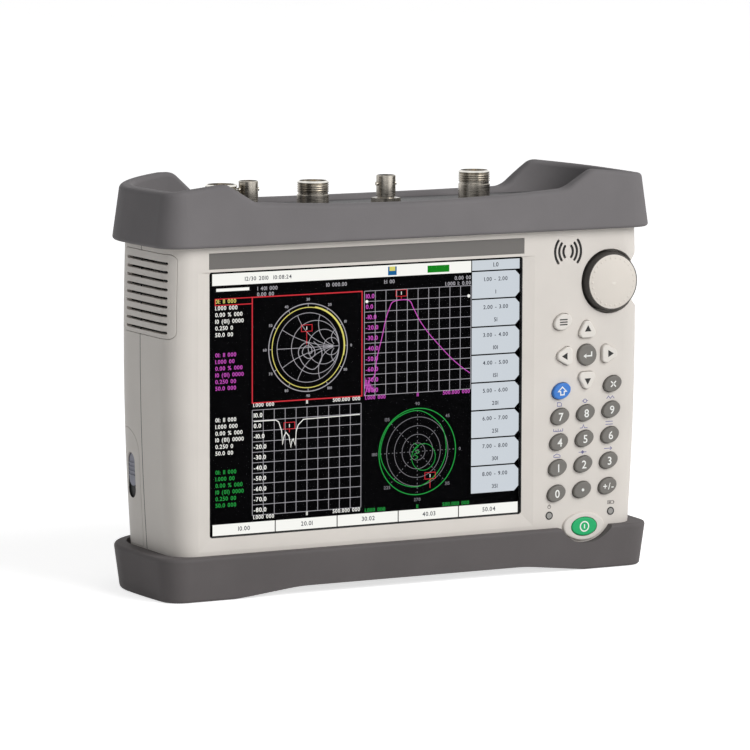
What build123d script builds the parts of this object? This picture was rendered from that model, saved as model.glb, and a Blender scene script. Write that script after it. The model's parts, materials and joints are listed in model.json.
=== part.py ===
from build123d import *
from math import radians, sqrt, tan
import os

# Handheld vector network analyser, standing on its lower bumper.
# Frame: +Z is up, the screen faces -Y, +X is to the viewer's right.
# The origin is the middle of the underside. All lengths are in millimetres.

# Fits and allowances
overrun = 3.0            # how far a cut runs past the face that it opens
slide_gap = 0.3          # round a key, door or latch that moves in its hole
seat_gap = 0.15          # round a fixed piece in its pocket
shaft_gap = 0.05         # radial running fit of a shaft in its bush

# Screen, and the case widths and heights that are built up round it
window_width = 172.0
window_height = 128.5
window_corner = 1.5
window_left_margin = 21.4    # case side to window
window_sill = 8.25           # lower bumper to window
pane_border = 2.8            # how far the pane reaches behind the case
pane_setback = 1.5           # case face to pane
pane_thickness = 1.2
gasket_thickness = 0.8
gasket_width = 3.0
display_thickness = 8.0
display_border = 1.0         # how far the display module reaches past the pane
dish_width = 6.4             # sloped surround beside and below the window
dish_depth = 0.8

# Bare name strip above the window
strip_gap = 1.35
strip_height = 7.8
strip_overhang = 0.5
strip_headroom = 2.9         # strip to top bumper
strip_thickness = 0.6

# Case shells
case_depth = 78.0
case_wall = 2.6
front_wall = 3.0
parting_depth = 33.0         # case face to the joint between the shells
parting_chamfer = 0.35
front_corner = 11.7
rear_corner = 34.0
side_radius = 1400.0         # the sides bulge gently from top to bottom
belly_height = 119.5         # where the case is widest
shoulder_cover = 9.8         # how far the case reaches up inside the top bumper
bumper_floor = 8.9           # thickness of the lower bumper under the case

# Keypad
keypad_width = 48.0
keypad_gap = 12.2            # window to keypad
keypad_margin = 9.2          # keypad to case side
key_proud = 1.8
key_travel = 1.2
key_flange = 1.0             # how far the flange spreads, and how thick it is
key_edge = 0.7               # rounding of a key's crown
digit_pitch = 14.7
digit_rise = 0.95            # each column stands a little higher than the one on its left
digit_row_pitch = 12.83
digit_row_count = 4
digit_lean = 0.6             # each row up stands a little further right
digit_sill = 18.35           # lower bumper to the middle key of the lowest row
digit_offset = -2.25         # that key from the keypad's middle
oval_length = 10.4
oval_height = 7.7
oval_turn = 22.0
enter_radius = 5.25
pick_radius = 7.4            # arrow keys are rounded triangles
pick_corner = 2.5
arrow_reach = 12.2
arrow_rise = 29.2            # top digit row to the enter key
menu_left = 14.05            # from the enter key, as are the next five
menu_rise = 17.1
shift_left = 14.5
shift_drop = 17.4
escape_right = 14.9
escape_drop = 15.4
power_length = 14.5
power_height = 9.2
power_drop = 0.1             # below the lower bumper's edge
power_offset = -1.2          # from the keypad's middle
power_pad_gap = 0.8          # raised pad round the power key to the lower bumper's dip
power_pad_proud = 1.4
power_pad_edge = 1.0
power_pad_end = 5.0          # rounding of the pad's two ends
led_radius = 1.75
led_spread = 35.4
led_rise = 6.4               # above the lower bumper's edge
led_offset = -1.7            # from the power key
led_proud = 0.2
membrane_thickness = 0.4
switch_gap = 0.4             # left behind a key that is pressed right in
keypad_board_head = 12.4     # board above the menu key
board_thickness = 1.6
board_post_radius = 2.0
board_edge = 1.5             # board edge to the nearest key's middle, past its switch

# Rotary knob at the upper right
knob_inset = 20.05           # case side to knob axis
knob_drop = 26.6             # top bumper to knob axis
knob_radius = 14.8
knob_recess = 6.0
knob_recess_gap = 1.4
knob_floor = 3.0             # wall left behind the recess
knob_recess_wall = 2.0       # wall left round the recess
thumb_offset = 24.0          # knob axis to the middle of the scoop in the case's side, for a thumb
thumb_radius = 14.6
thumb_depth = 12.0           # behind the case face
knob_lip = 0.3               # knob skirt to the recess floor
knob_skirt_height = 6.0
knob_taper_height = 3.0
knob_face_radius = 14.0
knob_cap_radius = 13.5
knob_cap_crown = 1.2
knob_cap_thickness = 2.0
encoder_width = 13.0
encoder_depth = 7.0
bush_radius = 4.5
bush_length = 2.0            # bush beyond the recess floor
shaft_radius = 3.0
encoder_nut_width = 12.0
encoder_nut_height = 1.8
nut_pocket_gap = 2.0         # knob clears the nut by this, all round

# Speaker behind its six curved slots
speaker_offset = -10.8       # from the keypad's middle
speaker_drop = 10.8          # below the top bumper
speaker_radius = 8.2
speaker_depth = 6.0
speaker_slot = 1.4
speaker_arc_centre = 1.8     # each set of slots curves about a point beyond the middle
speaker_arc_radius = 4.5     # of the inmost slot
speaker_arc_pitch = 2.35
speaker_arc_count = 3        # on each side
speaker_arc_half_angle = 37.0

# Bumpers
side_proud = 6.0             # top bumper past the case's widest place, each side
front_proud = 5.0
lower_bumper_height = 21.9
lower_tuck = 0.3             # the lower bumper is narrower than the top one, each side
lower_draft = 7.6
arch_rise = 4.0              # the underside clears the table between the feet
arch_half_span = 63.0
arch_round = 90.0
foot_inset = 39.0            # bumper side to the inner end of each foot
notch_radius = 17.4          # the rim dips round the power key
notch_rise = 9.3             # centre of that dip above the rim
rear_pocket_corner = 28.0    # the rim stands clear of the case at the rear corners
rear_pocket_depth = 7.0      # below the rim
top_bumper_height = 29.8
top_draft = 8.0
bow_depth = 3.0              # where the bumper sides bow out most, behind the middle
bow_front = 2.4              # how much narrower the bumpers are at the front
bow_rear = 3.0
bumper_front_corner = 13.0
bumper_rear_corner = 40.0
rim_width = 6.0              # top of the wall round the connector trough
trough_draft = 6.0
front_dip = 9.3              # how far the trough wall drops between the horns
front_sag = 3.0              # and sags further in the middle
rear_dip = 14.2
rear_sag = 0.5
rear_shift = 7.0             # the dip at the back lies this far to the right
horn_inset = 36.5            # bumper side to the peak of a horn
ramp_run = 15.0              # from the peak of a horn down to the dip
horn_fall = 4.0              # horns slope down towards the ends
horn_round = 7.0
dip_round = 12.0
rim_edge = 2.4               # rounding along the trough wall's top
bumper_edge = 1.5            # rounding of the bumpers' other outer edges

# Connector panel on top, with its sockets from left to right
panel_thickness = 3.0
panel_inset = 1.0
panel_opening_width = 220.0
panel_opening_depth = 44.0
left_n_x = -84.8
left_bnc_x = -70.1
middle_n_x = -34.7
right_bnc_x = 5.8
right_n_x = 55.6
n_radius = 7.9               # over the coupling thread
n_height = 13.4
right_n_lift = 1.8           # the right socket stands a little higher
n_collar = 6.8               # plain collar under the thread
n_rim = 0.8                  # chamfer at the mouth
n_bore = 6.6
n_bore_depth = 9.0
n_tail_radius = 6.0
n_tail = 12.0
n_nut_width = 17.0
n_nut_height = 3.2
nut_turn = 30.0
n_sleeve_radius = 4.0
n_contact_radius = 1.5
n_contact_setback = 2.0
bnc_radius = 4.8
bnc_height = 14.6
bnc_rim = 0.3
bnc_bore = 4.05
bnc_bore_depth = 9.5
bnc_tail_radius = 4.2
bnc_nut_width = 12.7
bnc_nut_height = 3.4
bnc_lug_radius = 1.0
bnc_lug_reach = 0.75
bnc_lug_drop = 4.2
bnc_sleeve_radius = 2.3
bnc_contact_radius = 0.7
lead_radius = 1.1            # stiff coaxial leads from the sockets to the radio module
insulator_floor = 1.5        # plastic left at the bottom of a socket's bore
relief_height = 0.8          # groove under the thread or shell that a plug goes on
relief_depth = 0.5

# Cooling slots in the left side, and the fan behind them
vent_count = 9
vent_pitch = 4.15
vent_height = 1.4
vent_drop = 7.6              # top bumper to the first slot
vent_front = 6.0             # case face to the front end of the slots
vent_length = 43.0
grille_end = 3.4             # grille past the ends of its slots
grille_head = 3.6            # grille above its first slot, and below its last
grille_foot = 2.0
grille_corner = 3.0
fan_size = 40.0
fan_thickness = 6.0
fan_corner = 3.2
fan_duct_radius = 18.8
fan_blade_gap = 0.8
fan_hub_radius = 8.5
fan_blade_thickness = 1.0
fan_blade_pitch = 38.0
fan_blade_count = 7
fan_bush_radius = 3.2
fan_shaft_radius = 1.2
fan_end_plate = 1.5
fan_strut_width = 2.4
fan_strut_count = 3
fan_side_gap = 1.6           # case wall to fan
fan_y = -6.5                 # fan axis, in front of the middle of the case
fan_shelf_thickness = 2.0
fan_shelf_depth = 9.0

# Battery, its door and the door's latch, in the left side near the bottom
door_front = 3.5             # joint between the shells to the door's front edge
door_width = 24.0
door_sill = 0.6              # lower bumper to door
door_height = 57.0
door_corner = 13.0
door_foot_corner = 2.0
latch_slot_front = 5.5       # door front edge to latch slot
latch_slot_sill = 22.8       # door foot to latch slot
latch_slot_width = 8.9
latch_slot_height = 22.4
latch_slot_depth = 1.5
latch_travel = 5.5
latch_rib = 0.7
latch_rib_count = 4
latch_rib_share = 0.3        # of the pitch of the finger ribs
latch_pad = 1.6              # wall added inside the door behind the slot
battery_length = 145.0
battery_clearance = 1.0      # inside the door opening, all round
shelf_thickness = 2.4
battery_corner = 2.0
battery_end_gap = 1.2        # case wall to battery, at the case's rounded rear corner

# Tilt bail on the back
bail_width = 150.0
bail_bar = 9.0
bail_thickness = 3.4
bail_drop = 108.0            # hinge to the far edge of the bail
bail_hinge_height = 151.5
bail_corner = 8.0
bail_barrel_radius = 2.2
bail_pin_radius = 1.2
bail_lug_width = 5.0
bail_lug_radius = 2.3
bail_standoff = 2.45         # case back to hinge axis

# Boards inside
main_board_gap = 13.5        # case wall to the main board
main_board_height = 122.0
main_post_radius = 2.8
main_post_inset = 3.2        # board edge to post
radio_width = 160.0
radio_height = 50.0
radio_behind = 3.6           # how far the radio module reaches behind the sockets' line
radio_corner = 2.0
radio_drop = 20.2            # top bumper's edge to the radio module
radio_offset = -15.0

# Screws that hold the shells together, under the bumpers
screw_inset = 10.0           # case side to screw
screw_sill = 5.5             # case floor or roof to screw
screw_boss_radius = 4.0
screw_radius = 1.5
screw_length = 18.0
screw_grip = 8.0             # shell between a screw's head and the joint
screw_head_radius = 2.8
screw_head_height = 2.2

# Places worked out from the sizes above
case_width = window_left_margin + window_width + keypad_gap + keypad_width + keypad_margin
belly_half = case_width / 2
face_y = -case_depth / 2
back_y = case_depth / 2
wall_back_y = face_y + front_wall
parting_y = face_y + parting_depth
rim_z = lower_bumper_height
brow_z = rim_z + window_sill + window_height + strip_gap + strip_height + strip_headroom
case_top_z = brow_z + shoulder_cover
case_bottom_z = bumper_floor
panel_top_z = case_top_z + panel_thickness
horn_z = brow_z + top_bumper_height
body_half_width = belly_half + side_proud
body_half_depth = case_depth / 2 + front_proud

window_x = -belly_half + window_left_margin + window_width / 2
window_z = rim_z + window_sill + window_height / 2
pane_front_y = face_y + pane_setback
pane_back_y = pane_front_y + pane_thickness
gasket_back_y = pane_back_y + gasket_thickness
pane_width = window_width + 2 * pane_border
pane_height = window_height + 2 * pane_border
display_width = pane_width + 2 * display_border
display_height = pane_height + 2 * display_border
strip_z = window_z + window_height / 2 + strip_gap + strip_height / 2

keypad_x = belly_half - keypad_margin - keypad_width / 2
enter_x = keypad_x
enter_z = rim_z + digit_sill + (digit_row_count - 1) * digit_row_pitch + arrow_rise
menu_place = (enter_x - menu_left, enter_z + menu_rise)
shift_place = (enter_x - shift_left, enter_z - shift_drop)
escape_place = (enter_x + escape_right, enter_z - escape_drop)
power_x = keypad_x + power_offset
power_z = rim_z - power_drop
led_x = power_x + led_offset
led_z = rim_z + led_rise
knob_x = belly_half - knob_inset
knob_z = brow_z - knob_drop
speaker_x = keypad_x + speaker_offset
speaker_z = brow_z - speaker_drop
recess_floor_y = face_y + knob_recess
knob_boss_y = recess_floor_y + knob_floor
knob_boss_radius = knob_radius + knob_recess_gap + knob_recess_wall
keypad_board_y = wall_back_y + key_flange + key_travel + switch_gap + membrane_thickness
main_board_y = wall_back_y + main_board_gap
n_places = (left_n_x, middle_n_x, right_n_x)
bnc_places = (left_bnc_x, right_bnc_x)
screw_x = belly_half - screw_inset
screw_seat_y = parting_y + screw_grip
screw_places = [(-screw_x, case_bottom_z + screw_sill), (screw_x, case_bottom_z + screw_sill),
                (-screw_x, case_top_z - screw_sill), (screw_x, case_top_z - screw_sill)]

os.makedirs("parts", exist_ok=True)


def finish(piece, name):
    """Label a finished piece and write it."""
    piece.part.label = name
    export_step(piece.part, f"parts/{name}.step")


def facing_front(y):
    """A plane parallel to the screen at depth y, with its normal towards the viewer."""
    return Plane.XZ.offset(-y)


def side_half(z):
    """Half the width of the case at height z, on its bulging sides."""
    rise = z - belly_height
    return belly_half - side_radius + sqrt(side_radius * side_radius - rise * rise)


def case_block(front_y, end_y, inset, round_front, corner, edge):
    """A solid slice of the case between two depths, with its outline drawn in by inset."""
    low = case_bottom_z + inset
    high = case_top_z - inset
    foot = side_half(case_bottom_z) - inset
    shoulder = side_half(case_top_z) - inset
    with BuildPart(mode=Mode.PRIVATE) as block:
        with BuildSketch(facing_front(front_y)):
            with BuildLine():
                base = Line((-foot, low), (foot, low))
                right = ThreePointArc(base @ 1, (belly_half - inset, belly_height), (shoulder, high))
                roof = Line(right @ 1, (-shoulder, high))
                ThreePointArc(roof @ 1, (-(belly_half - inset), belly_height), base @ 0)
            make_face()
        extrude(amount=front_y - end_y)
        sides = block.edges().filter_by(GeomType.CIRCLE).group_by(Axis.Y)
        fillet(sides[0] if round_front else sides[-1], corner)
        if edge:
            rims = block.faces().filter_by(Axis.Y).sort_by(Axis.Y)
            chamfer((rims[-1] if round_front else rims[0]).edges(), edge)
    return block.part


def case_plan(half_width, corner, grow):
    """The case seen from above, for what fits round it or lies on it."""
    with BuildSketch(mode=Mode.PRIVATE) as plan:
        Rectangle(2 * (half_width + grow), case_depth + 2 * grow)
        fillet(plan.vertices().group_by(Axis.Y)[0], front_corner + grow)
        fillet(plan.vertices().group_by(Axis.Y)[-1], corner + grow)
    return plan.sketch


def bumper_plan(half_width, inset):
    """A bumper seen from above: flat front and back, bowed sides, larger corners at the back."""
    front = half_width - bow_front
    rear = half_width - bow_rear
    with BuildSketch(mode=Mode.PRIVATE) as plan:
        with BuildLine():
            nose = Line((-front, -body_half_depth), (front, -body_half_depth))
            right = ThreePointArc(nose @ 1, (half_width, bow_depth), (rear, body_half_depth))
            tail = Line(right @ 1, (-rear, body_half_depth))
            ThreePointArc(tail @ 1, (-half_width, bow_depth), nose @ 0)
        make_face()
        fillet(plan.vertices().group_by(Axis.Y)[0], bumper_front_corner)
        fillet(plan.vertices().group_by(Axis.Y)[-1], bumper_rear_corner)
        if inset:
            offset(amount=-inset)
    return plan.sketch


def key_outline(shape, grow):
    """Outline of a key about its middle, spread by grow."""
    with BuildSketch(mode=Mode.PRIVATE) as outline:
        if shape == "oval":
            Ellipse(oval_length / 2 + grow, oval_height / 2 + grow, rotation=oval_turn)
        elif shape == "power":
            Ellipse(power_length / 2 + grow, power_height / 2 + grow)
        elif shape == "round":
            Circle(enter_radius + grow)
        else:
            RegularPolygon(pick_radius + 2 * grow, 3, rotation=arrow_turns[shape])
            fillet(outline.vertices(), pick_corner + grow)
    return outline.sketch


# Keys: name, outline and place on the face
arrow_turns = {"right": 0, "up": 90, "left": 180, "down": 270}
key_table = [("enter_key", "round", enter_x, enter_z),
             ("power_key", "power", power_x, power_z)]
for arrow, (step_x, step_z) in {"up": (0, 1), "down": (0, -1), "left": (-1, 0), "right": (1, 0)}.items():
    place = (enter_x + step_x * arrow_reach, enter_z + step_z * arrow_reach)
    key_table.append((f"{arrow}_arrow_key", arrow, *place))
for name, place in {"menu": menu_place, "shift": shift_place, "escape": escape_place}.items():
    key_table.append((f"{name}_key", "oval", *place))
digit_rows = [("digit_0", "decimal_point", "plus_minus"), ("digit_1", "digit_2", "digit_3"),
              ("digit_4", "digit_5", "digit_6"), ("digit_7", "digit_8", "digit_9")]
for row, names in enumerate(digit_rows):
    for column, name in zip((-1, 0, 1), names):
        key_x = keypad_x + digit_offset + column * digit_pitch + row * digit_lean
        key_z = rim_z + digit_sill + column * digit_rise + row * digit_row_pitch
        key_table.append((f"{name}_key", "oval", key_x, key_z))

whole_front = case_block(face_y, parting_y, 0, True, front_corner, 0)
whole_rear = case_block(parting_y, back_y, 0, False, rear_corner, 0)
front_outer = case_block(face_y, parting_y, 0, True, front_corner, parting_chamfer)
front_inner = case_block(wall_back_y, parting_y + overrun, case_wall, True, front_corner - case_wall, 0)
rear_outer = case_block(parting_y, back_y, 0, False, rear_corner, parting_chamfer)
rear_inner = case_block(parting_y - overrun, back_y - case_wall, case_wall, False, rear_corner - case_wall, 0)

# Vent grille: an inset in the left side, across the joint between the shells
vent_top_z = brow_z - vent_drop
vent_middle_y = face_y + vent_front + vent_length / 2
vent_middle_z = vent_top_z - (vent_count - 1) * vent_pitch / 2
grille_high_z = vent_top_z + vent_height / 2 + grille_head
grille_low_z = vent_middle_z * 2 - vent_top_z - vent_height / 2 - grille_foot
grille_width = vent_length + 2 * grille_end
grille_height = grille_high_z - grille_low_z


def grille_prism(grow):
    """The grille's outline, run in from outside the left side."""
    with BuildPart(mode=Mode.PRIVATE) as prism:
        with BuildSketch(Plane.YZ.offset(-belly_half - overrun)):
            with Locations((vent_middle_y, (grille_high_z + grille_low_z) / 2)):
                RectangleRounded(grille_width + 2 * grow, grille_height + 2 * grow, grille_corner + grow)
        extrude(amount=overrun + front_corner)
    return prism.part


vent_cut = grille_prism(slide_gap)
grille_piece = grille_prism(0)
with BuildPart() as vent_grille:
    add(whole_front)
    add(whole_rear)
    add(front_inner, mode=Mode.SUBTRACT)
    add(rear_inner, mode=Mode.SUBTRACT)
    add(grille_piece, mode=Mode.INTERSECT)
    with BuildSketch(Plane.YZ.offset(-belly_half - overrun)):
        with Locations((vent_middle_y, vent_middle_z)):
            with GridLocations(vent_pitch, vent_pitch, 1, vent_count):
                SlotOverall(vent_length, vent_height)
    extrude(amount=overrun + front_corner, mode=Mode.SUBTRACT)
finish(vent_grille, "vent_grille")

# Roof opening under the connector panel
with BuildPart() as roof_cut:
    with BuildSketch(Plane.XY.offset(case_top_z - case_wall - overrun)):
        Rectangle(panel_opening_width, panel_opening_depth)
    extrude(amount=case_wall + 2 * overrun)

# Wall left round the knob's recess and the thumb scoop, trimmed to the case's rounded side
with BuildPart() as knob_boss:
    add(front_outer)
    with BuildSketch(facing_front(face_y)):
        with Locations((knob_x, knob_z)):
            Circle(knob_boss_radius)
    extrude(amount=face_y - knob_boss_y, mode=Mode.INTERSECT)
with BuildPart() as thumb_boss:
    add(front_outer)
    with BuildSketch(facing_front(face_y)):
        with Locations((knob_x + thumb_offset, knob_z)):
            Circle(thumb_radius + knob_recess_wall)
    extrude(amount=-thumb_depth - knob_recess_wall, mode=Mode.INTERSECT)

# Bosses for the shell screws, trimmed to the rounded corners
with BuildPart() as front_bosses:
    add(front_outer)
    with BuildSketch(facing_front(face_y)):
        with Locations(*screw_places):
            Circle(screw_boss_radius)
    extrude(amount=-case_depth, mode=Mode.INTERSECT)
with BuildPart() as rear_bosses:
    add(rear_outer)
    with BuildSketch(facing_front(face_y)):
        with Locations(*screw_places):
            Circle(screw_boss_radius)
    extrude(amount=-case_depth, mode=Mode.INTERSECT)

# Front case
main_post_x = (window_x - display_width / 2 - main_post_inset, window_x + display_width / 2 + main_post_inset)
main_post_reach = main_board_height / 2 - main_post_inset
main_post_z = (window_z - main_post_reach, window_z + main_post_reach)
keypad_board_left = keypad_x - digit_pitch + digit_offset - oval_length / 2 - key_flange - board_post_radius
keypad_board_right = led_x + led_spread / 2 + led_radius + board_edge
keypad_board_low = power_z - power_height / 2
keypad_board_high = menu_place[1] + keypad_board_head
keypad_post_x = keypad_board_left + board_post_radius
low_post_z = led_z + led_radius + board_post_radius
keypad_posts = [(keypad_post_x, low_post_z), (keypad_x, low_post_z),
                (keypad_post_x, keypad_board_high - board_post_radius)]
with BuildPart() as front_case:
    add(front_outer)
    add(front_inner, mode=Mode.SUBTRACT)
    add(knob_boss.part)
    add(thumb_boss.part)
    add(front_bosses.part)
    # posts for the boards
    with BuildSketch(facing_front(wall_back_y)):
        with Locations(*[(x, z) for x in main_post_x for z in main_post_z]):
            Circle(main_post_radius)
    extrude(amount=wall_back_y - main_board_y)
    with BuildSketch(facing_front(wall_back_y)):
        with Locations(*keypad_posts):
            Circle(board_post_radius)
    extrude(amount=wall_back_y - keypad_board_y)
    # pilot holes for the shell screws
    with BuildSketch(facing_front(parting_y)):
        with Locations(*screw_places):
            Circle(screw_radius + seat_gap)
    extrude(amount=screw_length - screw_grip + overrun, mode=Mode.SUBTRACT)
    # sloped surround, then the window and the pane's pocket behind it
    with BuildSketch(facing_front(face_y - dish_depth)):
        with Locations((window_x, window_z - dish_width)):
            Rectangle(window_width + 4 * dish_width, window_height + 2 * dish_width)
    with BuildSketch(facing_front(face_y + dish_depth)):
        with Locations((window_x, window_z)):
            Rectangle(window_width, window_height)
    loft(ruled=True, mode=Mode.SUBTRACT)
    with BuildSketch(facing_front(face_y)):
        with Locations((window_x, window_z)):
            RectangleRounded(window_width, window_height, window_corner)
    extrude(amount=-front_wall, mode=Mode.SUBTRACT)
    with BuildSketch(facing_front(pane_front_y)):
        with Locations((window_x, window_z)):
            RectangleRounded(pane_width + 2 * seat_gap, pane_height + 2 * seat_gap, window_corner)
    extrude(amount=-front_wall, mode=Mode.SUBTRACT)
    # recess for the name strip
    with BuildSketch(facing_front(face_y + strip_thickness)):
        with Locations((window_x, strip_z)):
            Rectangle(window_width + 2 * strip_overhang, strip_height)
    extrude(amount=overrun, mode=Mode.SUBTRACT)
    # knob recess, the scoop for a thumb beside it, and the hole for the encoder's bush
    with BuildSketch(facing_front(recess_floor_y)):
        with Locations((knob_x, knob_z)):
            Circle(knob_radius + knob_recess_gap)
    extrude(amount=knob_recess + overrun, mode=Mode.SUBTRACT)
    with BuildSketch(facing_front(face_y + thumb_depth)):
        with Locations((knob_x + thumb_offset, knob_z)):
            Circle(thumb_radius)
    extrude(amount=thumb_depth + overrun, mode=Mode.SUBTRACT)
    with BuildSketch(facing_front(recess_floor_y)):
        with Locations((knob_x, knob_z)):
            Circle(bush_radius + seat_gap)
    extrude(amount=-knob_floor, mode=Mode.SUBTRACT)
    # pad round the power key, between two arcs that match the lower bumper's dip
    with BuildSketch(facing_front(face_y)) as power_pad:
        with Locations((power_x, rim_z + notch_rise)):
            Circle(notch_radius - power_pad_gap)
        with Locations((power_x, 2 * power_z - rim_z - notch_rise)):
            Circle(notch_radius - power_pad_gap, mode=Mode.INTERSECT)
        fillet(power_pad.vertices(), power_pad_end)
    extrude(amount=power_pad_proud)
    fillet(front_case.edges().group_by(Axis.Y)[0], power_pad_edge)
    # key holes
    for name, shape, key_x, key_z in key_table:
        with BuildSketch(facing_front(wall_back_y)):
            with Locations((key_x, key_z)):
                add(key_outline(shape, slide_gap))
        extrude(amount=front_wall + overrun, mode=Mode.SUBTRACT)
    # light holes
    with BuildSketch(facing_front(wall_back_y)):
        with Locations((led_x, led_z)):
            with GridLocations(led_spread, led_spread, 2, 1):
                Circle(led_radius + seat_gap)
    extrude(amount=front_wall + overrun, mode=Mode.SUBTRACT)
    # speaker slots
    with BuildSketch(facing_front(wall_back_y)):
        for side_angle in (0, 180):
            with Locations(Pos(speaker_x, speaker_z) * Rot(0, 0, side_angle)):
                for arc in range(speaker_arc_count):
                    with BuildLine(mode=Mode.PRIVATE) as slot_path:
                        CenterArc((-speaker_arc_centre, 0), speaker_arc_radius + arc * speaker_arc_pitch,
                                  -speaker_arc_half_angle, 2 * speaker_arc_half_angle)
                    SlotArc(slot_path.wire(), speaker_slot)
    extrude(amount=front_wall + overrun, mode=Mode.SUBTRACT)
    add(vent_cut, mode=Mode.SUBTRACT)
    add(roof_cut.part, mode=Mode.SUBTRACT)
finish(front_case, "front_case")

# Door opening, its top front corner rounded like an arch
door_front_y = parting_y + door_front
door_low_z = rim_z + door_sill
door_middle_y = door_front_y + door_width / 2
door_middle_z = door_low_z + door_height / 2


def door_prism(grow):
    """The door's outline, run in from outside the left side."""
    with BuildPart(mode=Mode.PRIVATE) as prism:
        with BuildSketch(Plane.YZ.offset(-belly_half - overrun)) as outline:
            with Locations((door_middle_y, door_middle_z)):
                Rectangle(door_width + 2 * grow, door_height + 2 * grow)
            high = outline.vertices().group_by(Axis.Y)[-1].sort_by(Axis.X)
            fillet(high[0], door_corner + grow)
            fillet(outline.vertices().group_by(Axis.Y)[0], door_foot_corner + grow)
        extrude(amount=overrun + rear_corner / 2)
    return prism.part


# Rear case
battery_height = door_height - 2 * battery_clearance - 2 * shelf_thickness
battery_depth = door_width - 2 * battery_clearance
battery_low_z = door_low_z + battery_clearance + shelf_thickness
battery_rear_y = door_middle_y + battery_depth / 2
inner_corner = rear_corner - case_wall
corner_run = max(0, battery_rear_y - (back_y - rear_corner))
corner_in = inner_corner - sqrt(inner_corner * inner_corner - corner_run * corner_run)
battery_left = -side_half(door_low_z) + case_wall + corner_in + battery_end_gap
fan_outer_x = -belly_half + case_wall + fan_side_gap
fan_z = vent_middle_z
fan_shelf_length = fan_y + fan_size / 2 - parting_y
fan_shelf_x = fan_outer_x - fan_side_gap + fan_shelf_depth / 2
shelf_low_z = (battery_low_z - shelf_thickness, battery_low_z + battery_height)
fan_shelf_low_z = (fan_z - fan_size / 2 - seat_gap - fan_shelf_thickness, fan_z + fan_size / 2 + seat_gap)
bail_axis_y = back_y + bail_standoff
bail_leg_x = bail_width / 2 - bail_bar / 2
lug_offset = bail_bar / 2 + slide_gap + bail_lug_width / 2
lug_places = [side * bail_leg_x + end * lug_offset for side in (-1, 1) for end in (-1, 1)]
door_cut = door_prism(slide_gap)
with BuildPart() as rear_case:
    add(rear_outer)
    add(rear_inner, mode=Mode.SUBTRACT)
    # deep bosses for the shell screws, open from the back down to the screw heads
    add(rear_bosses.part)
    with BuildSketch(facing_front(parting_y)):
        with Locations(*screw_places):
            Circle(screw_radius + seat_gap)
    extrude(amount=parting_y - back_y, mode=Mode.SUBTRACT)
    with BuildSketch(facing_front(screw_seat_y)):
        with Locations(*screw_places):
            Circle(screw_head_radius + seat_gap)
    extrude(amount=parting_y - back_y, mode=Mode.SUBTRACT)
    # shelves above and below the battery, run out from the back wall
    for low_z in shelf_low_z:
        with BuildSketch(Plane.XY.offset(low_z)):
            with Locations((battery_left + (rear_corner + battery_length) / 2, (door_front_y + back_y) / 2)):
                Rectangle(battery_length - rear_corner, back_y - door_front_y - case_wall)
        extrude(amount=shelf_thickness)
    # shelves that hold the fan
    for low_z in fan_shelf_low_z:
        with BuildSketch(Plane.XY.offset(low_z)):
            with Locations((fan_shelf_x, parting_y + fan_shelf_length / 2)):
                Rectangle(fan_shelf_depth, fan_shelf_length)
        extrude(amount=fan_shelf_thickness)
    add(door_cut, mode=Mode.SUBTRACT)
    add(vent_cut, mode=Mode.SUBTRACT)
    add(roof_cut.part, mode=Mode.SUBTRACT)
    # hinge lugs for the tilt bail
    for lug_x in lug_places:
        with BuildSketch(Plane.YZ.offset(lug_x - bail_lug_width / 2)):
            with Locations((bail_axis_y, bail_hinge_height)):
                Circle(bail_lug_radius)
            with Locations((back_y + bail_standoff / 2, bail_hinge_height)):
                Rectangle(bail_standoff, 2 * bail_lug_radius)
            with Locations((bail_axis_y, bail_hinge_height)):
                Circle(bail_pin_radius + shaft_gap, mode=Mode.SUBTRACT)
        extrude(amount=bail_lug_width)
finish(rear_case, "rear_case")

# Battery door: the piece of the side wall that fills the opening
door_piece = door_prism(0)
latch_floor_x = -side_half(door_middle_z) + latch_slot_depth
latch_y = door_front_y + latch_slot_front + latch_slot_width / 2
latch_slot_z = door_low_z + latch_slot_sill + latch_slot_height / 2
with BuildPart() as battery_door:
    add(rear_outer)
    add(rear_inner, mode=Mode.SUBTRACT)
    add(door_piece, mode=Mode.INTERSECT)
    with BuildSketch(Plane.YZ.offset(latch_floor_x)):
        with Locations((latch_y, latch_slot_z)):
            SlotOverall(latch_slot_height + 2 * latch_pad, latch_slot_width + 2 * latch_pad, rotation=90)
    extrude(amount=latch_pad)
    with BuildSketch(Plane.YZ.offset(latch_floor_x)):
        with Locations((latch_y, latch_slot_z)):
            SlotOverall(latch_slot_height, latch_slot_width, rotation=90)
    extrude(amount=-overrun, mode=Mode.SUBTRACT)
finish(battery_door, "battery_door")

# Battery latch: a ribbed slider at the top of its slot
latch_width = latch_slot_width - 2 * slide_gap
latch_height = latch_slot_height - latch_travel - 2 * slide_gap
latch_z = latch_slot_z + latch_slot_height / 2 - slide_gap - latch_height / 2
latch_rib_pitch = (latch_height - latch_width) / latch_rib_count
with BuildPart() as battery_latch:
    with BuildSketch(Plane.YZ.offset(latch_floor_x)):
        with Locations((latch_y, latch_z)):
            SlotOverall(latch_height, latch_width, rotation=90)
    extrude(amount=latch_rib - latch_slot_depth)
    with BuildSketch(Plane.YZ.offset(latch_floor_x + latch_rib - latch_slot_depth)):
        with Locations((latch_y, latch_z)):
            with GridLocations(latch_width, latch_rib_pitch, 1, latch_rib_count):
                Rectangle(latch_width - 2 * latch_rib, latch_rib_pitch * latch_rib_share)
    extrude(amount=-latch_rib)
finish(battery_latch, "battery_latch")

# Battery pack on its shelf
with BuildPart() as battery_pack:
    with BuildSketch(Plane.YZ.offset(battery_left)):
        with Locations((door_middle_y, battery_low_z + battery_height / 2)):
            RectangleRounded(battery_depth, battery_height, battery_corner)
    extrude(amount=battery_length)
finish(battery_pack, "battery_pack")

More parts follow.
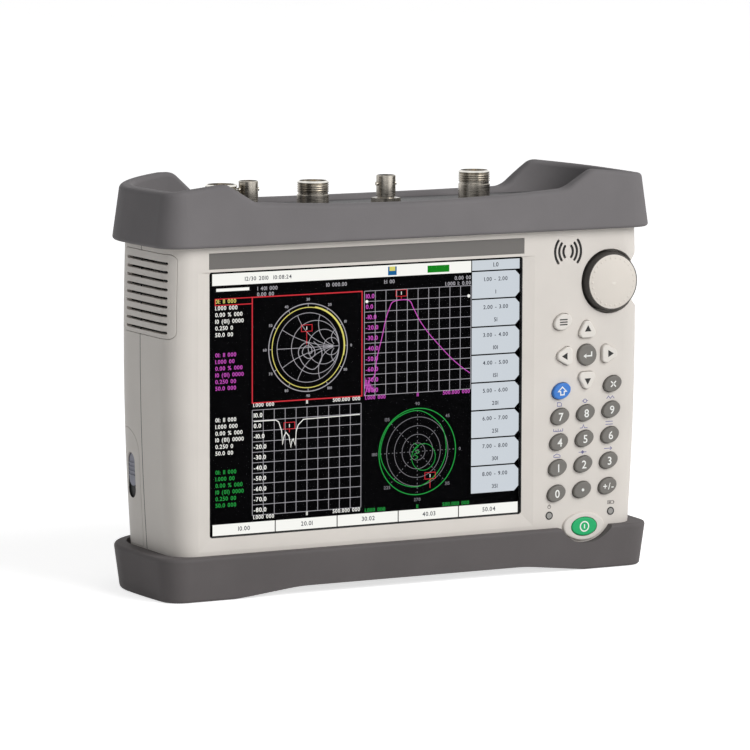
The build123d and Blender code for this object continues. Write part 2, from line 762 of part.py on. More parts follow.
# Connector panel on the roof of the case
roof_half = side_half(case_top_z)
with BuildPart() as connector_panel:
    with BuildSketch(Plane.XY.offset(case_top_z)):
        add(case_plan(roof_half, rear_corner, -panel_inset))
        with Locations(*[(x, 0) for x in n_places]):
            Circle(n_tail_radius + seat_gap, mode=Mode.SUBTRACT)
        with Locations(*[(x, 0) for x in bnc_places]):
            Circle(bnc_tail_radius + seat_gap, mode=Mode.SUBTRACT)
    extrude(amount=panel_thickness)
finish(connector_panel, "connector_panel")

# Top bumper: drafted ring with a trough for the connectors, dips and horns
peak_x = body_half_width - horn_inset
dip_x = peak_x - ramp_run
top_inset = top_bumper_height * tan(radians(top_draft)) + rim_width
trough_inset = top_inset + (horn_z - panel_top_z) * tan(radians(trough_draft))
brow_half = side_half(brow_z)
rim_low_z = (panel_top_z + horn_z - max(front_dip + front_sag, rear_dip + rear_sag)) / 2


def rim_cut(dip, sag, shift, near_y, far_y):
    """What is cut away above the trough wall between two depths, with its dip moved right by shift."""
    far_x = body_half_width + overrun
    slope = horn_fall / horn_inset
    end_z = horn_z - slope * (far_x - peak_x)
    dip_z = horn_z - dip
    crest = [(-peak_x, horn_z)] + ([(shift - peak_x, horn_z)] if shift else [])
    with BuildPart(mode=Mode.PRIVATE) as cut:
        with BuildSketch(facing_front(near_y)) as profile:
            with BuildLine():
                left = Polyline((-far_x, horn_z + overrun), (-far_x, end_z), *crest, (shift - dip_x, dip_z))
                floor = ThreePointArc(left @ 1, (shift, dip_z - sag), (shift + dip_x, dip_z))
                Polyline(floor @ 1, (shift + peak_x, horn_z - slope * shift), (far_x, end_z),
                         (far_x, horn_z + overrun), left @ 0)
            make_face()
            fillet(profile.vertices().group_by(Axis.Y)[0], dip_round)
            for x in [place[0] for place in crest] + [shift + peak_x]:
                fillet(profile.vertices().filter_by_position(Axis.X, x - seat_gap, x + seat_gap), horn_round)
        extrude(amount=near_y - far_y)
    return cut.part


front_rim_cut = rim_cut(front_dip, front_sag, 0, -body_half_depth - overrun, 0)
rear_rim_cut = rim_cut(rear_dip, rear_sag, rear_shift, 0, body_half_depth + overrun)
with BuildPart() as top_bumper:
    with BuildSketch(Plane.XY.offset(brow_z)):
        add(bumper_plan(body_half_width, 0))
    extrude(amount=top_bumper_height, taper=top_draft)
    with BuildSketch(Plane.XY.offset(brow_z)):
        add(case_plan(brow_half, rear_corner, seat_gap))
    extrude(amount=panel_top_z - brow_z, mode=Mode.SUBTRACT)
    with BuildSketch(Plane.XY.offset(panel_top_z)):
        add(bumper_plan(body_half_width, trough_inset))
    with BuildSketch(Plane.XY.offset(horn_z)):
        add(bumper_plan(body_half_width, top_inset))
    loft(ruled=True, mode=Mode.SUBTRACT)
    add(front_rim_cut, mode=Mode.SUBTRACT)
    add(rear_rim_cut, mode=Mode.SUBTRACT)
    fillet(top_bumper.edges().filter_by(lambda edge: edge.bounding_box().min.Z > rim_low_z), rim_edge)
    fillet(top_bumper.faces().sort_by(Axis.Z)[0].outer_wire().edges(), bumper_edge)
finish(top_bumper, "top_bumper")

# Lower bumper: drafted cup with arched underside, a dip round the power key and pockets at the rear corners
lower_half_width = body_half_width - lower_tuck
lower_seat_half = side_half(rim_z)
foot_x = lower_half_width - foot_inset
foot_tuck = lower_bumper_height * tan(radians(lower_draft))
with BuildPart() as bottom_bumper:
    with BuildSketch(Plane.XY):
        add(bumper_plan(lower_half_width, foot_tuck))
    with BuildSketch(Plane.XY.offset(rim_z)):
        add(bumper_plan(lower_half_width, 0))
    loft(ruled=True)
    fillet(bottom_bumper.faces().sort_by(Axis.Z)[0].edges(), bumper_edge)
    fillet(bottom_bumper.faces().sort_by(Axis.Z)[-1].edges(), bumper_edge)
    with BuildSketch(Plane.XY.offset(case_bottom_z)):
        add(case_plan(lower_seat_half, rear_corner, seat_gap))
    extrude(amount=lower_bumper_height, mode=Mode.SUBTRACT)
    with BuildSketch(Plane.XY.offset(rim_z - rear_pocket_depth)):
        add(case_plan(lower_seat_half, rear_pocket_corner, seat_gap))
    extrude(amount=lower_bumper_height, mode=Mode.SUBTRACT)
    with BuildSketch(facing_front(-body_half_depth - overrun)) as arch:
        with BuildLine():
            Polyline((-foot_x, 0), (-arch_half_span, arch_rise), (arch_half_span, arch_rise), (foot_x, 0),
                     (0, -overrun), close=True)
        make_face()
        fillet(arch.vertices().group_by(Axis.Y)[-1], arch_round)
    extrude(amount=-2 * (body_half_depth + overrun), mode=Mode.SUBTRACT)
    with BuildSketch(facing_front(face_y)):
        with Locations((power_x, rim_z + notch_rise)):
            Circle(notch_radius)
    extrude(amount=front_proud + overrun, mode=Mode.SUBTRACT)
finish(bottom_bumper, "bottom_bumper")

# Display: pane behind the window, gasket, display module
with BuildPart() as display_window:
    with BuildSketch(facing_front(pane_front_y)):
        with Locations((window_x, window_z)):
            RectangleRounded(pane_width, pane_height, window_corner)
    extrude(amount=-pane_thickness)
finish(display_window, "display_window")

with BuildPart() as display_gasket:
    with BuildSketch(facing_front(pane_back_y)):
        with Locations((window_x, window_z)):
            RectangleRounded(pane_width, pane_height, window_corner)
            Rectangle(pane_width - 2 * gasket_width, pane_height - 2 * gasket_width, mode=Mode.SUBTRACT)
    extrude(amount=-gasket_thickness)
finish(display_gasket, "display_gasket")

with BuildPart() as display_module:
    with BuildSketch(facing_front(gasket_back_y)):
        with Locations((window_x, window_z)):
            Rectangle(display_width, display_height)
    extrude(amount=-display_thickness)
finish(display_module, "display_module")

with BuildPart() as name_strip:
    with BuildSketch(facing_front(face_y)):
        with Locations((window_x, strip_z)):
            Rectangle(window_width + 2 * strip_overhang - 2 * seat_gap, strip_height - 2 * seat_gap)
    extrude(amount=-strip_thickness)
finish(name_strip, "name_strip")

# Keys, each held behind the case wall by its flange
for name, shape, key_x, key_z in key_table:
    with BuildPart() as key:
        with BuildSketch(facing_front(wall_back_y)):
            with Locations((key_x, key_z)):
                add(key_outline(shape, 0))
        extrude(amount=front_wall + key_proud)
        fillet(key.edges().group_by(Axis.Y)[0], key_edge)
        with BuildSketch(facing_front(wall_back_y + key_flange)):
            with Locations((key_x, key_z)):
                add(key_outline(shape, key_flange))
        extrude(amount=key_flange)
    finish(key, name)

with BuildPart() as status_lights:
    with BuildSketch(facing_front(keypad_board_y)):
        with Locations((led_x, led_z)):
            with GridLocations(led_spread, led_spread, 2, 1):
                Circle(led_radius)
    extrude(amount=keypad_board_y - face_y + led_proud)
finish(status_lights, "status_lights")

# Keypad board and the rubber membrane on it, cleared round the knob's recess
keypad_board_x = (keypad_board_left + keypad_board_right) / 2
keypad_board_z = (keypad_board_low + keypad_board_high) / 2


def keypad_sheet(edge):
    """Outline of the keypad board, drawn in by edge."""
    with BuildSketch(mode=Mode.PRIVATE) as sheet:
        with Locations((keypad_board_x, keypad_board_z)):
            Rectangle(keypad_board_right - keypad_board_left - 2 * edge,
                      keypad_board_high - keypad_board_low - 2 * edge)
        with Locations((knob_x, knob_z)):
            Circle(knob_boss_radius + slide_gap + edge, mode=Mode.SUBTRACT)
    return sheet.sketch


with BuildPart() as keypad_board:
    with BuildSketch(facing_front(keypad_board_y)):
        add(keypad_sheet(0))
    extrude(amount=-board_thickness)
finish(keypad_board, "keypad_board")

with BuildPart() as keypad_membrane:
    with BuildSketch(facing_front(keypad_board_y)):
        add(keypad_sheet(0))
        with Locations(*keypad_posts):
            Rectangle(2 * board_post_radius + 2 * slide_gap, 2 * board_post_radius + 2 * slide_gap,
                      mode=Mode.SUBTRACT)
        with Locations((led_x, led_z)):
            with GridLocations(led_spread, led_spread, 2, 1):
                Circle(led_radius + slide_gap, mode=Mode.SUBTRACT)
    extrude(amount=membrane_thickness)
finish(keypad_membrane, "keypad_membrane")

# Encoder behind the recess, with its bush, nut and shaft, and the knob on the shaft
with BuildPart() as encoder_body:
    with BuildSketch(facing_front(knob_boss_y)):
        with Locations((knob_x, knob_z)):
            Rectangle(encoder_width, encoder_width)
    extrude(amount=-encoder_depth)
    with BuildSketch(facing_front(knob_boss_y)):
        with Locations((knob_x, knob_z)):
            Circle(bush_radius)
    extrude(amount=knob_floor + bush_length)
    with BuildSketch(facing_front(knob_boss_y + encoder_depth)):
        with Locations((knob_x, knob_z)):
            Circle(shaft_radius + shaft_gap)
    extrude(amount=encoder_depth + knob_floor + bush_length, mode=Mode.SUBTRACT)
finish(encoder_body, "encoder_body")

with BuildPart() as encoder_nut:
    with BuildSketch(facing_front(recess_floor_y)):
        with Locations((knob_x, knob_z)):
            RegularPolygon(encoder_nut_width / 2, 6, major_radius=False)
            Circle(bush_radius + seat_gap, mode=Mode.SUBTRACT)
    extrude(amount=encoder_nut_height)
finish(encoder_nut, "encoder_nut")

knob_base_y = recess_floor_y - knob_lip
knob_face_y = knob_base_y - knob_skirt_height - knob_taper_height
cap_seat_y = knob_face_y + knob_cap_thickness
nut_pocket = encoder_nut_height + bush_length + knob_lip
with BuildPart() as knob_grip:
    with BuildSketch(facing_front(knob_base_y)):
        with Locations((knob_x, knob_z)):
            Circle(knob_radius)
    extrude(amount=knob_skirt_height)
    with BuildSketch(facing_front(knob_base_y - knob_skirt_height)):
        with Locations((knob_x, knob_z)):
            Circle(knob_radius)
    with BuildSketch(facing_front(knob_face_y)):
        with Locations((knob_x, knob_z)):
            Circle(knob_face_radius)
    loft()
    with BuildSketch(facing_front(cap_seat_y)):
        with Locations((knob_x, knob_z)):
            Circle(knob_cap_radius)
    extrude(amount=knob_cap_thickness, mode=Mode.SUBTRACT)
    with BuildSketch(facing_front(knob_base_y)):
        with Locations((knob_x, knob_z)):
            Circle(encoder_nut_width / 2 + nut_pocket_gap)
    extrude(amount=nut_pocket, mode=Mode.SUBTRACT)
    with BuildSketch(facing_front(knob_base_y)):
        with Locations((knob_x, knob_z)):
            Circle(shaft_radius)
    extrude(amount=knob_skirt_height + knob_taper_height, mode=Mode.SUBTRACT)
finish(knob_grip, "knob_grip")

with BuildPart() as knob_shaft:
    with BuildSketch(facing_front(knob_boss_y + encoder_depth)):
        with Locations((knob_x, knob_z)):
            Circle(shaft_radius)
    extrude(amount=knob_boss_y + encoder_depth - cap_seat_y)
finish(knob_shaft, "knob_shaft")

cap_sphere = (knob_cap_radius * knob_cap_radius + knob_cap_crown * knob_cap_crown) / (2 * knob_cap_crown)
with BuildPart() as knob_cap:
    with BuildSketch(Plane.XY.offset(knob_z)):
        with BuildLine():
            seat = Line((knob_x, cap_seat_y), (knob_x + knob_cap_radius, cap_seat_y))
            edge = Line(seat @ 1, (knob_x + knob_cap_radius, knob_face_y))
            crown = RadiusArc(edge @ 1, (knob_x, knob_face_y - knob_cap_crown), cap_sphere)
            Line(crown @ 1, seat @ 0)
        make_face()
    revolve(axis=Axis((knob_x, 0, knob_z), (0, 1, 0)))
finish(knob_cap, "knob_cap")

# Speaker behind its slots
with BuildPart() as speaker:
    with BuildSketch(facing_front(wall_back_y)):
        with Locations((speaker_x, speaker_z)):
            Circle(speaker_radius)
    extrude(amount=-speaker_depth / 2)
    with BuildSketch(facing_front(wall_back_y + speaker_depth / 2)):
        with Locations((speaker_x, speaker_z)):
            Circle(speaker_radius / 2)
    extrude(amount=-speaker_depth / 2)
finish(speaker, "speaker")

# Main board on its posts, with the shielded radio module behind it
main_board_left = main_post_x[0] - main_post_inset
main_board_right = main_post_x[1] + main_post_inset
with BuildPart() as main_board:
    with BuildSketch(facing_front(main_board_y)):
        with Locations(((main_board_left + main_board_right) / 2, window_z)):
            Rectangle(main_board_right - main_board_left, main_board_height)
    extrude(amount=-board_thickness)
finish(main_board, "main_board")

radio_top_z = brow_z - radio_drop
radio_front_y = main_board_y + board_thickness
with BuildPart() as radio_module:
    with BuildSketch(facing_front(radio_front_y)):
        with Locations((radio_offset, radio_top_z - radio_height / 2)):
            RectangleRounded(radio_width, radio_height, radio_corner)
    extrude(amount=radio_front_y - radio_behind)
finish(radio_module, "radio_module")

# Sockets on the connector panel
def socket_bodies(places, radius, height, collar, rim, bore, bore_depth, tail_radius):
    """Metal shells of a row of sockets, with a groove above the collar and their tails through the panel."""
    with BuildPart(mode=Mode.PRIVATE) as bodies:
        with BuildSketch(Plane.XY.offset(panel_top_z)):
            with Locations(*[(x, 0) for x in places]):
                Circle(radius)
        extrude(amount=height)
        chamfer(bodies.faces().group_by(Axis.Z)[-1].edges(), rim)
        with BuildSketch(Plane.XY.offset(panel_top_z + collar)):
            with Locations(*[(x, 0) for x in places]):
                Circle(radius + relief_depth)
                Circle(radius - relief_depth, mode=Mode.SUBTRACT)
        extrude(amount=relief_height, mode=Mode.SUBTRACT)
        with BuildSketch(Plane.XY.offset(panel_top_z)):
            with Locations(*[(x, 0) for x in places]):
                Circle(tail_radius)
        extrude(amount=-n_tail)
        with BuildSketch(Plane.XY.offset(panel_top_z + height - bore_depth)):
            with Locations(*[(x, 0) for x in places]):
                Circle(bore)
        extrude(amount=bore_depth, mode=Mode.SUBTRACT)
    return bodies


def socket_cores(places, height, bore_depth, bore, sleeve_radius, contact_radius):
    """Plastic cores of a row of sockets, each with a hole for its contact."""
    with BuildPart(mode=Mode.PRIVATE) as cores:
        with BuildSketch(Plane.XY.offset(panel_top_z + height - bore_depth)):
            with Locations(*[(x, 0) for x in places]):
                Circle(bore - seat_gap)
        extrude(amount=insulator_floor)
        with BuildSketch(Plane.XY.offset(panel_top_z + height - bore_depth)):
            with Locations(*[(x, 0) for x in places]):
                Circle(sleeve_radius)
        extrude(amount=bore_depth - n_contact_setback)
        with BuildSketch(Plane.XY.offset(panel_top_z + height - bore_depth)):
            with Locations(*[(x, 0) for x in places]):
                Circle(contact_radius)
        extrude(amount=bore_depth, mode=Mode.SUBTRACT)
    return cores


def socket_contacts(places, height, bore_depth, contact_radius):
    """Centre contacts of a row of sockets."""
    with BuildPart(mode=Mode.PRIVATE) as contacts:
        with BuildSketch(Plane.XY.offset(panel_top_z + height - bore_depth)):
            with Locations(*[(x, 0) for x in places]):
                Circle(contact_radius - seat_gap)
        extrude(amount=bore_depth - n_contact_setback / 2)
    return contacts


def panel_nuts(places, low_z, width, height, hole):
    """Hexagon nuts that clamp a row of sockets to the panel, with flats at their sides."""
    with BuildPart(mode=Mode.PRIVATE) as nuts:
        with BuildSketch(Plane.XY.offset(low_z)):
            with Locations(*[Location((x, 0), nut_turn) for x in places]):
                RegularPolygon(width / 2, 6, major_radius=False)
                Circle(hole + seat_gap, mode=Mode.SUBTRACT)
        extrude(amount=height)
    return nuts


def in_one(*rows):
    """Rows of pieces gathered into one node."""
    with BuildPart(mode=Mode.PRIVATE) as node:
        for row in rows:
            add(row.part)
    return node


# The right type N socket stands higher than the other two, on a longer collar
low_n_places, high_n_places = n_places[:-1], n_places[-1:]
high_n_height = n_height + right_n_lift
low_bodies = socket_bodies(low_n_places, n_radius, n_height, n_collar, n_rim, n_bore, n_bore_depth, n_tail_radius)
high_bodies = socket_bodies(high_n_places, n_radius, high_n_height, n_collar + right_n_lift, n_rim, n_bore,
                            n_bore_depth, n_tail_radius)
finish(in_one(low_bodies, high_bodies), "n_socket_bodies")
low_cores = socket_cores(low_n_places, n_height, n_bore_depth, n_bore, n_sleeve_radius, n_contact_radius)
high_cores = socket_cores(high_n_places, high_n_height, n_bore_depth, n_bore, n_sleeve_radius, n_contact_radius)
finish(in_one(low_cores, high_cores), "n_socket_cores")
low_contacts = socket_contacts(low_n_places, n_height, n_bore_depth, n_contact_radius)
high_contacts = socket_contacts(high_n_places, high_n_height, n_bore_depth, n_contact_radius)
finish(in_one(low_contacts, high_contacts), "n_socket_contacts")
n_nut_z = case_top_z - n_nut_height
finish(panel_nuts(n_places, n_nut_z, n_nut_width, n_nut_height, n_tail_radius), "n_socket_nuts")
finish(socket_cores(bnc_places, bnc_height, bnc_bore_depth, bnc_bore, bnc_sleeve_radius, bnc_contact_radius),
       "bnc_socket_cores")
finish(socket_contacts(bnc_places, bnc_height, bnc_bore_depth, bnc_contact_radius), "bnc_socket_contacts")
finish(panel_nuts(bnc_places, panel_top_z, bnc_nut_width, bnc_nut_height, bnc_radius), "bnc_socket_nuts")

# The smaller sockets have two bayonet lugs each
bnc_shells = socket_bodies(bnc_places, bnc_radius, bnc_height, bnc_nut_height, bnc_rim, bnc_bore, bnc_bore_depth,
                           bnc_tail_radius).part
with BuildPart() as bnc_socket_bodies:
    add(bnc_shells)
    for bnc_x in bnc_places:
        for side in (-1, 1):
            with BuildSketch(Plane.YZ.offset(bnc_x + side * (bnc_radius + bnc_bore) / 2)):
                with Locations((0, panel_top_z + bnc_height - bnc_lug_drop)):
                    Circle(bnc_lug_radius)
            extrude(amount=side * ((bnc_radius - bnc_bore) / 2 + bnc_lug_reach))
finish(bnc_socket_bodies, "bnc_socket_bodies")

# Stiff coaxial leads from the sockets down to the radio module
lead_top_z = panel_top_z - n_tail
with BuildPart() as coaxial_leads:
    with BuildSketch(Plane.XY.offset(radio_top_z)):
        with Locations(*[(x, 0) for x in n_places + bnc_places]):
            Circle(lead_radius)
    extrude(amount=lead_top_z - radio_top_z)
finish(coaxial_leads, "coaxial_leads")

# Fan behind the vent slots, blowing along X
fan_inner_x = fan_outer_x + fan_thickness
rotor_x = fan_outer_x + fan_end_plate + fan_blade_gap
rotor_length = fan_thickness - fan_end_plate - 2 * fan_blade_gap
with BuildPart() as fan_frame:
    with BuildSketch(Plane.YZ.offset(fan_outer_x)):
        with Locations((fan_y, fan_z)):
            RectangleRounded(fan_size, fan_size, fan_corner)
            Circle(fan_duct_radius, mode=Mode.SUBTRACT)
    extrude(amount=fan_thickness)
    with BuildSketch(Plane.YZ.offset(fan_outer_x)):
        with Locations((fan_y, fan_z)):
            Circle(fan_hub_radius)
            with PolarLocations((fan_duct_radius + fan_hub_radius) / 2, fan_strut_count):
                Rectangle(fan_duct_radius - fan_hub_radius + 2 * fan_blade_gap, fan_strut_width)
    extrude(amount=fan_end_plate)
    with BuildSketch(Plane.YZ.offset(fan_outer_x)):
        with Locations((fan_y, fan_z)):
            Circle(fan_bush_radius)
    extrude(amount=fan_thickness / 2)
    with BuildSketch(Plane.YZ.offset(fan_outer_x)):
        with Locations((fan_y, fan_z)):
            Circle(fan_shaft_radius + shaft_gap)
    extrude(amount=fan_thickness, mode=Mode.SUBTRACT)
finish(fan_frame, "fan_frame")

blade_span = fan_duct_radius - fan_blade_gap - fan_hub_radius
with BuildPart() as fan_rotor:
    with BuildSketch(Plane.YZ.offset(rotor_x)):
        with Locations((fan_y, fan_z)):
            Circle(fan_hub_radius)
    extrude(amount=rotor_length)
    with BuildSketch(Plane.YZ.offset(rotor_x)):
        with Locations((fan_y, fan_z)):
            Circle(fan_bush_radius + fan_blade_gap)
    extrude(amount=rotor_length - fan_end_plate, mode=Mode.SUBTRACT)
    with BuildSketch(Plane.YZ.offset(fan_outer_x)):
        with Locations((fan_y, fan_z)):
            Circle(fan_shaft_radius)
    extrude(amount=rotor_x + rotor_length - fan_outer_x)
    for blade in range(fan_blade_count):
        turn = blade * 360 / fan_blade_count
        with Locations(Pos(rotor_x + rotor_length / 2, fan_y, fan_z) * Rot(turn, 0, 0)
                       * Pos(0, fan_hub_radius + blade_span / 2 - fan_blade_thickness / 2, 0)
                       * Rot(0, fan_blade_pitch, 0)):
            Box(rotor_length, blade_span + fan_blade_thickness, fan_blade_thickness)
finish(fan_rotor, "fan_rotor")

# Tilt bail: a flat U that hangs from two hinges on the back
bail_top_z = bail_hinge_height
bail_middle_z = bail_top_z - bail_drop / 2
with BuildPart() as tilt_bail:
    with BuildSketch(facing_front(bail_axis_y - bail_thickness / 2)) as bail_face:
        with Locations((0, bail_middle_z)):
            Rectangle(bail_width, bail_drop)
        fillet(bail_face.vertices().group_by(Axis.Y)[0], bail_corner)
        with Locations((0, bail_middle_z + bail_bar / 2)):
            Rectangle(bail_width - 2 * bail_bar, bail_drop - bail_bar, mode=Mode.SUBTRACT)
    extrude(amount=-bail_thickness)
    for side in (-1, 1):
        with BuildSketch(Plane.YZ.offset(side * bail_leg_x - bail_bar / 2)):
            with Locations((bail_axis_y, bail_hinge_height)):
                Circle(bail_barrel_radius)
        extrude(amount=bail_bar)
    with BuildSketch(Plane.YZ.offset(-bail_width / 2)):
        with Locations((bail_axis_y, bail_hinge_height)):
            Circle(bail_pin_radius + shaft_gap)
    extrude(amount=bail_width, mode=Mode.SUBTRACT)
finish(tilt_bail, "tilt_bail")

with BuildPart() as bail_pins:
    for side in (-1, 1):
        with BuildSketch(Plane.YZ.offset(side * bail_leg_x - lug_offset - bail_lug_width / 2)):
            with Locations((bail_axis_y, bail_hinge_height)):
                Circle(bail_pin_radius)
        extrude(amount=2 * lug_offset + bail_lug_width)
finish(bail_pins, "bail_pins")

# Screws that clamp the shells together
with BuildPart() as case_screws:
    with BuildSketch(facing_front(screw_seat_y)):
        with Locations(*screw_places):
            Circle(screw_radius)
    extrude(amount=screw_length)
    with BuildSketch(facing_front(screw_seat_y)):
        with Locations(*screw_places):
            Circle(screw_head_radius)
    extrude(amount=-screw_head_height)
finish(case_screws, "case_screws")
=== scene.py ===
import json
import math

import bmesh
import bpy
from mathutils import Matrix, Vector


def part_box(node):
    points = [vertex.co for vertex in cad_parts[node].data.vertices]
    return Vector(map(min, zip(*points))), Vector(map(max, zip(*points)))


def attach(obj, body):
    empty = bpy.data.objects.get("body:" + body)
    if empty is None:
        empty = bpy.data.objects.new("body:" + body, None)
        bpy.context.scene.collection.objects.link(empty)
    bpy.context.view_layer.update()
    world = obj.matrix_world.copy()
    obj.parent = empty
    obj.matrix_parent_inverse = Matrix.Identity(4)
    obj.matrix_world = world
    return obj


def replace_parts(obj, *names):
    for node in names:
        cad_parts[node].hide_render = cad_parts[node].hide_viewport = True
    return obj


# Looks of a handheld vector network analyser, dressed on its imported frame.
# Sizes are written in millimetres, and MM turns them into Blender's metres.

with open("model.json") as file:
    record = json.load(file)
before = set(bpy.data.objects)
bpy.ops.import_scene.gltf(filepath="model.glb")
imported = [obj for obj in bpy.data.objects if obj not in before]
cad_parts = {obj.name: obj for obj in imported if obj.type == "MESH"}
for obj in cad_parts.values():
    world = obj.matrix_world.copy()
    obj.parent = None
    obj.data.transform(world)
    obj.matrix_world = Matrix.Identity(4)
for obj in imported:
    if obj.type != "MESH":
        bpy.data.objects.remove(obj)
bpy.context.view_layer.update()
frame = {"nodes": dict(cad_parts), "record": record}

MM = 0.001

# Where the photograph was taken from
CAMERA_TARGET = (-19.8, -37.2, 104.15)
CAMERA_DISTANCE = 2434.5
CAMERA_AZIMUTH = -28.03
CAMERA_ELEVATION = 7.17
CAMERA_ROLL = 0.16
CAMERA_LENS = 240
CAMERA_SENSOR = 36

# Colours as they look on the object, red, green and blue from 0 to 255
CASE_IVORY = (219, 213, 206)
BUMPER_GREY = (119, 116, 117)
LOWER_GREY = (100, 96, 96)
STRIP_GREY = (105, 102, 99)
KEY_GREY = (115, 112, 107)
KEY_IVORY = (226, 221, 214)
KEY_BLUE = (60, 124, 206)
KEY_GREEN = (16, 170, 102)
KNOB_GREY = (60, 57, 54)
LATCH_GREY = (148, 149, 162)
KNOB_IVORY = (220, 213, 204)
NICKEL = (174, 168, 158)
# lighter nickel of the painted highlights on the port rims
HIGHLIGHT_NICKEL = (232, 229, 222)
GOLD = (214, 178, 104)
PRINT_BLUE = (104, 104, 158)
PRINT_GREY = (122, 117, 114)
LEGEND_WHITE = (240, 240, 236)
LEGEND_BLACK = (20, 19, 19)
SCREEN_COLOURS = {
    "white": (253, 253, 248), "pale": (208, 215, 222), "grey": (172, 170, 176), "dim": (124, 123, 128),
    "red": (214, 48, 58), "magenta": (204, 84, 194), "yellow": (222, 214, 112), "green": (34, 160, 66),
    "ink": (58, 62, 72), "blue": (20, 96, 150), "leaf": (8, 128, 20)}


# Finishes

NOISE_LOW, NOISE_HIGH = 0.3, 0.7    # most of the noise lies between these


def linear(red, green, blue):
    """A colour as it looks, turned into the linear values that a shader takes."""
    def channel(value):
        share = value / 255
        return share / 12.92 if share <= 0.04045 else ((share + 0.055) / 1.055) ** 2.4
    return (channel(red), channel(green), channel(blue), 1.0)


def tinted(colour, share):
    """A linear colour made lighter or darker."""
    return tuple(min(1.0, part * share) for part in colour[:3]) + (1.0,)


def start_finish(name):
    """A material with its Principled shader, its tree and the object's own coordinates."""
    material = bpy.data.materials.new(name)
    material.use_nodes = True
    tree = material.node_tree
    place = tree.nodes.new("ShaderNodeTexCoord").outputs["Object"]
    return material, tree, tree.nodes["Principled BSDF"], place


def feed(tree, socket, value):
    """Links a socket to another one, or gives it a plain value."""
    if isinstance(value, bpy.types.NodeSocket):
        tree.links.new(value, socket)
    else:
        socket.default_value = value


def fill(tree, node, **inputs):
    """Feeds a node's inputs, named with _ for a space, with linked sockets or plain values."""
    for name, value in inputs.items():
        feed(tree, node.inputs[name.replace("_", " ")], value)


def add_node(tree, kind, settings=(), **inputs):
    """A new node with its settings and inputs."""
    node = tree.nodes.new(kind)
    for name, value in settings:
        setattr(node, name, value)
    fill(tree, node, **inputs)
    return node


def computed(tree, operation, first, second):
    """Result of two values, each a socket or a plain number."""
    node = add_node(tree, "ShaderNodeMath", [("operation", operation)])
    feed(tree, node.inputs[0], first)
    feed(tree, node.inputs[1], second)
    return node.outputs["Value"]


def patches(tree, place, size, detail=2.0):
    """Soft noise whose patches are about size millimetres across."""
    return add_node(tree, "ShaderNodeTexNoise", Scale=1 / (size * MM), Detail=detail, Vector=place).outputs["Fac"]


def between(tree, share, low, high):
    """Noise spread over a range of values."""
    return add_node(tree, "ShaderNodeMapRange", From_Min=NOISE_LOW, From_Max=NOISE_HIGH, To_Min=low, To_Max=high,
                    Value=share).outputs["Result"]


def between_colours(tree, share, low, high):
    """Noise spread over two colours."""
    ramp = add_node(tree, "ShaderNodeValToRGB", Fac=share)
    for element, position, colour in zip(ramp.color_ramp.elements, (NOISE_LOW, NOISE_HIGH), (low, high)):
        element.position = position
        element.color = colour
    return ramp.outputs["Color"]


def emboss(tree, shader, height, depth, strength):
    """Bump from a height, depth millimetres deep."""
    bump = add_node(tree, "ShaderNodeBump", Distance=depth * MM, Strength=strength, Height=height)
    fill(tree, shader, Normal=bump.outputs["Normal"])


def moulded(name, colour, roughness, grain=0.6, depth=0.05, mottle=0.03, specular=0.4):
    """Moulded plastic or rubber: an eroded grain, with faint clouds in its colour and gloss."""
    material, tree, shader, place = start_finish(name)
    base = linear(*colour)
    cloud = patches(tree, place, 28, 3)
    pitting = patches(tree, place, grain, 3)
    fill(tree, shader, Specular_IOR_Level=specular,
         Base_Color=between_colours(tree, cloud, tinted(base, 1 - mottle), tinted(base, 1 + mottle)),
         Roughness=between(tree, pitting, roughness - 0.07, roughness + 0.07))
    emboss(tree, shader, pitting, depth, 0.35)
    return material


def stretched(tree, place, scale):
    """Coordinates pressed or drawn out along each axis."""
    return add_node(tree, "ShaderNodeMapping", Scale=scale, Vector=place).outputs["Vector"]


def turned_metal(name, colour, roughness, line=0.25, reflection_streak=0.15):
    """Plated metal turned on a lathe: fine lines round its axis, and painted reflections as upright streaks of light
    and dark in its colour.
    """
    material, tree, shader, place = start_finish(name)
    base = linear(*colour)
    lines = patches(tree, stretched(tree, place, (0.05, 0.05, 1)), line, 2)
    # painted reflections: upright streaks of light and dark in the base colour
    painted_reflections = patches(tree, stretched(tree, place, (1, 1, 0.03)), 3.2, 1)
    fill(tree, shader, Metallic=1.0,
         Base_Color=between_colours(tree, painted_reflections, tinted(base, 1 - reflection_streak), tinted(base, 1 + reflection_streak)),
         Roughness=between(tree, lines, roughness - 0.08, roughness + 0.08))
    emboss(tree, shader, lines, 0.01, 0.2)
    return material


def clear_pane(name):
    """Clear coated pane, almost invisible from the front, with faint smears in its gloss."""
    material, tree, shader, place = start_finish(name)
    fill(tree, shader, Specular_IOR_Level=0.04, Alpha=0.03,
         Base_Color=between_colours(tree, patches(tree, place, 40), linear(8, 8, 9), linear(14, 14, 16)),
         Roughness=between(tree, patches(tree, place, 18), 0.08, 0.2))
    return material


def lit(name, colour):
    """A mark on the lit screen."""
    material, tree, shader, place = start_finish(name)
    fill(tree, shader, Roughness=0.5, Specular_IOR_Level=0.03,
         Base_Color=between_colours(tree, patches(tree, place, 2), linear(10, 10, 11), linear(16, 16, 17)),
         Emission_Color=linear(*colour), Emission_Strength=1.0)
    return material


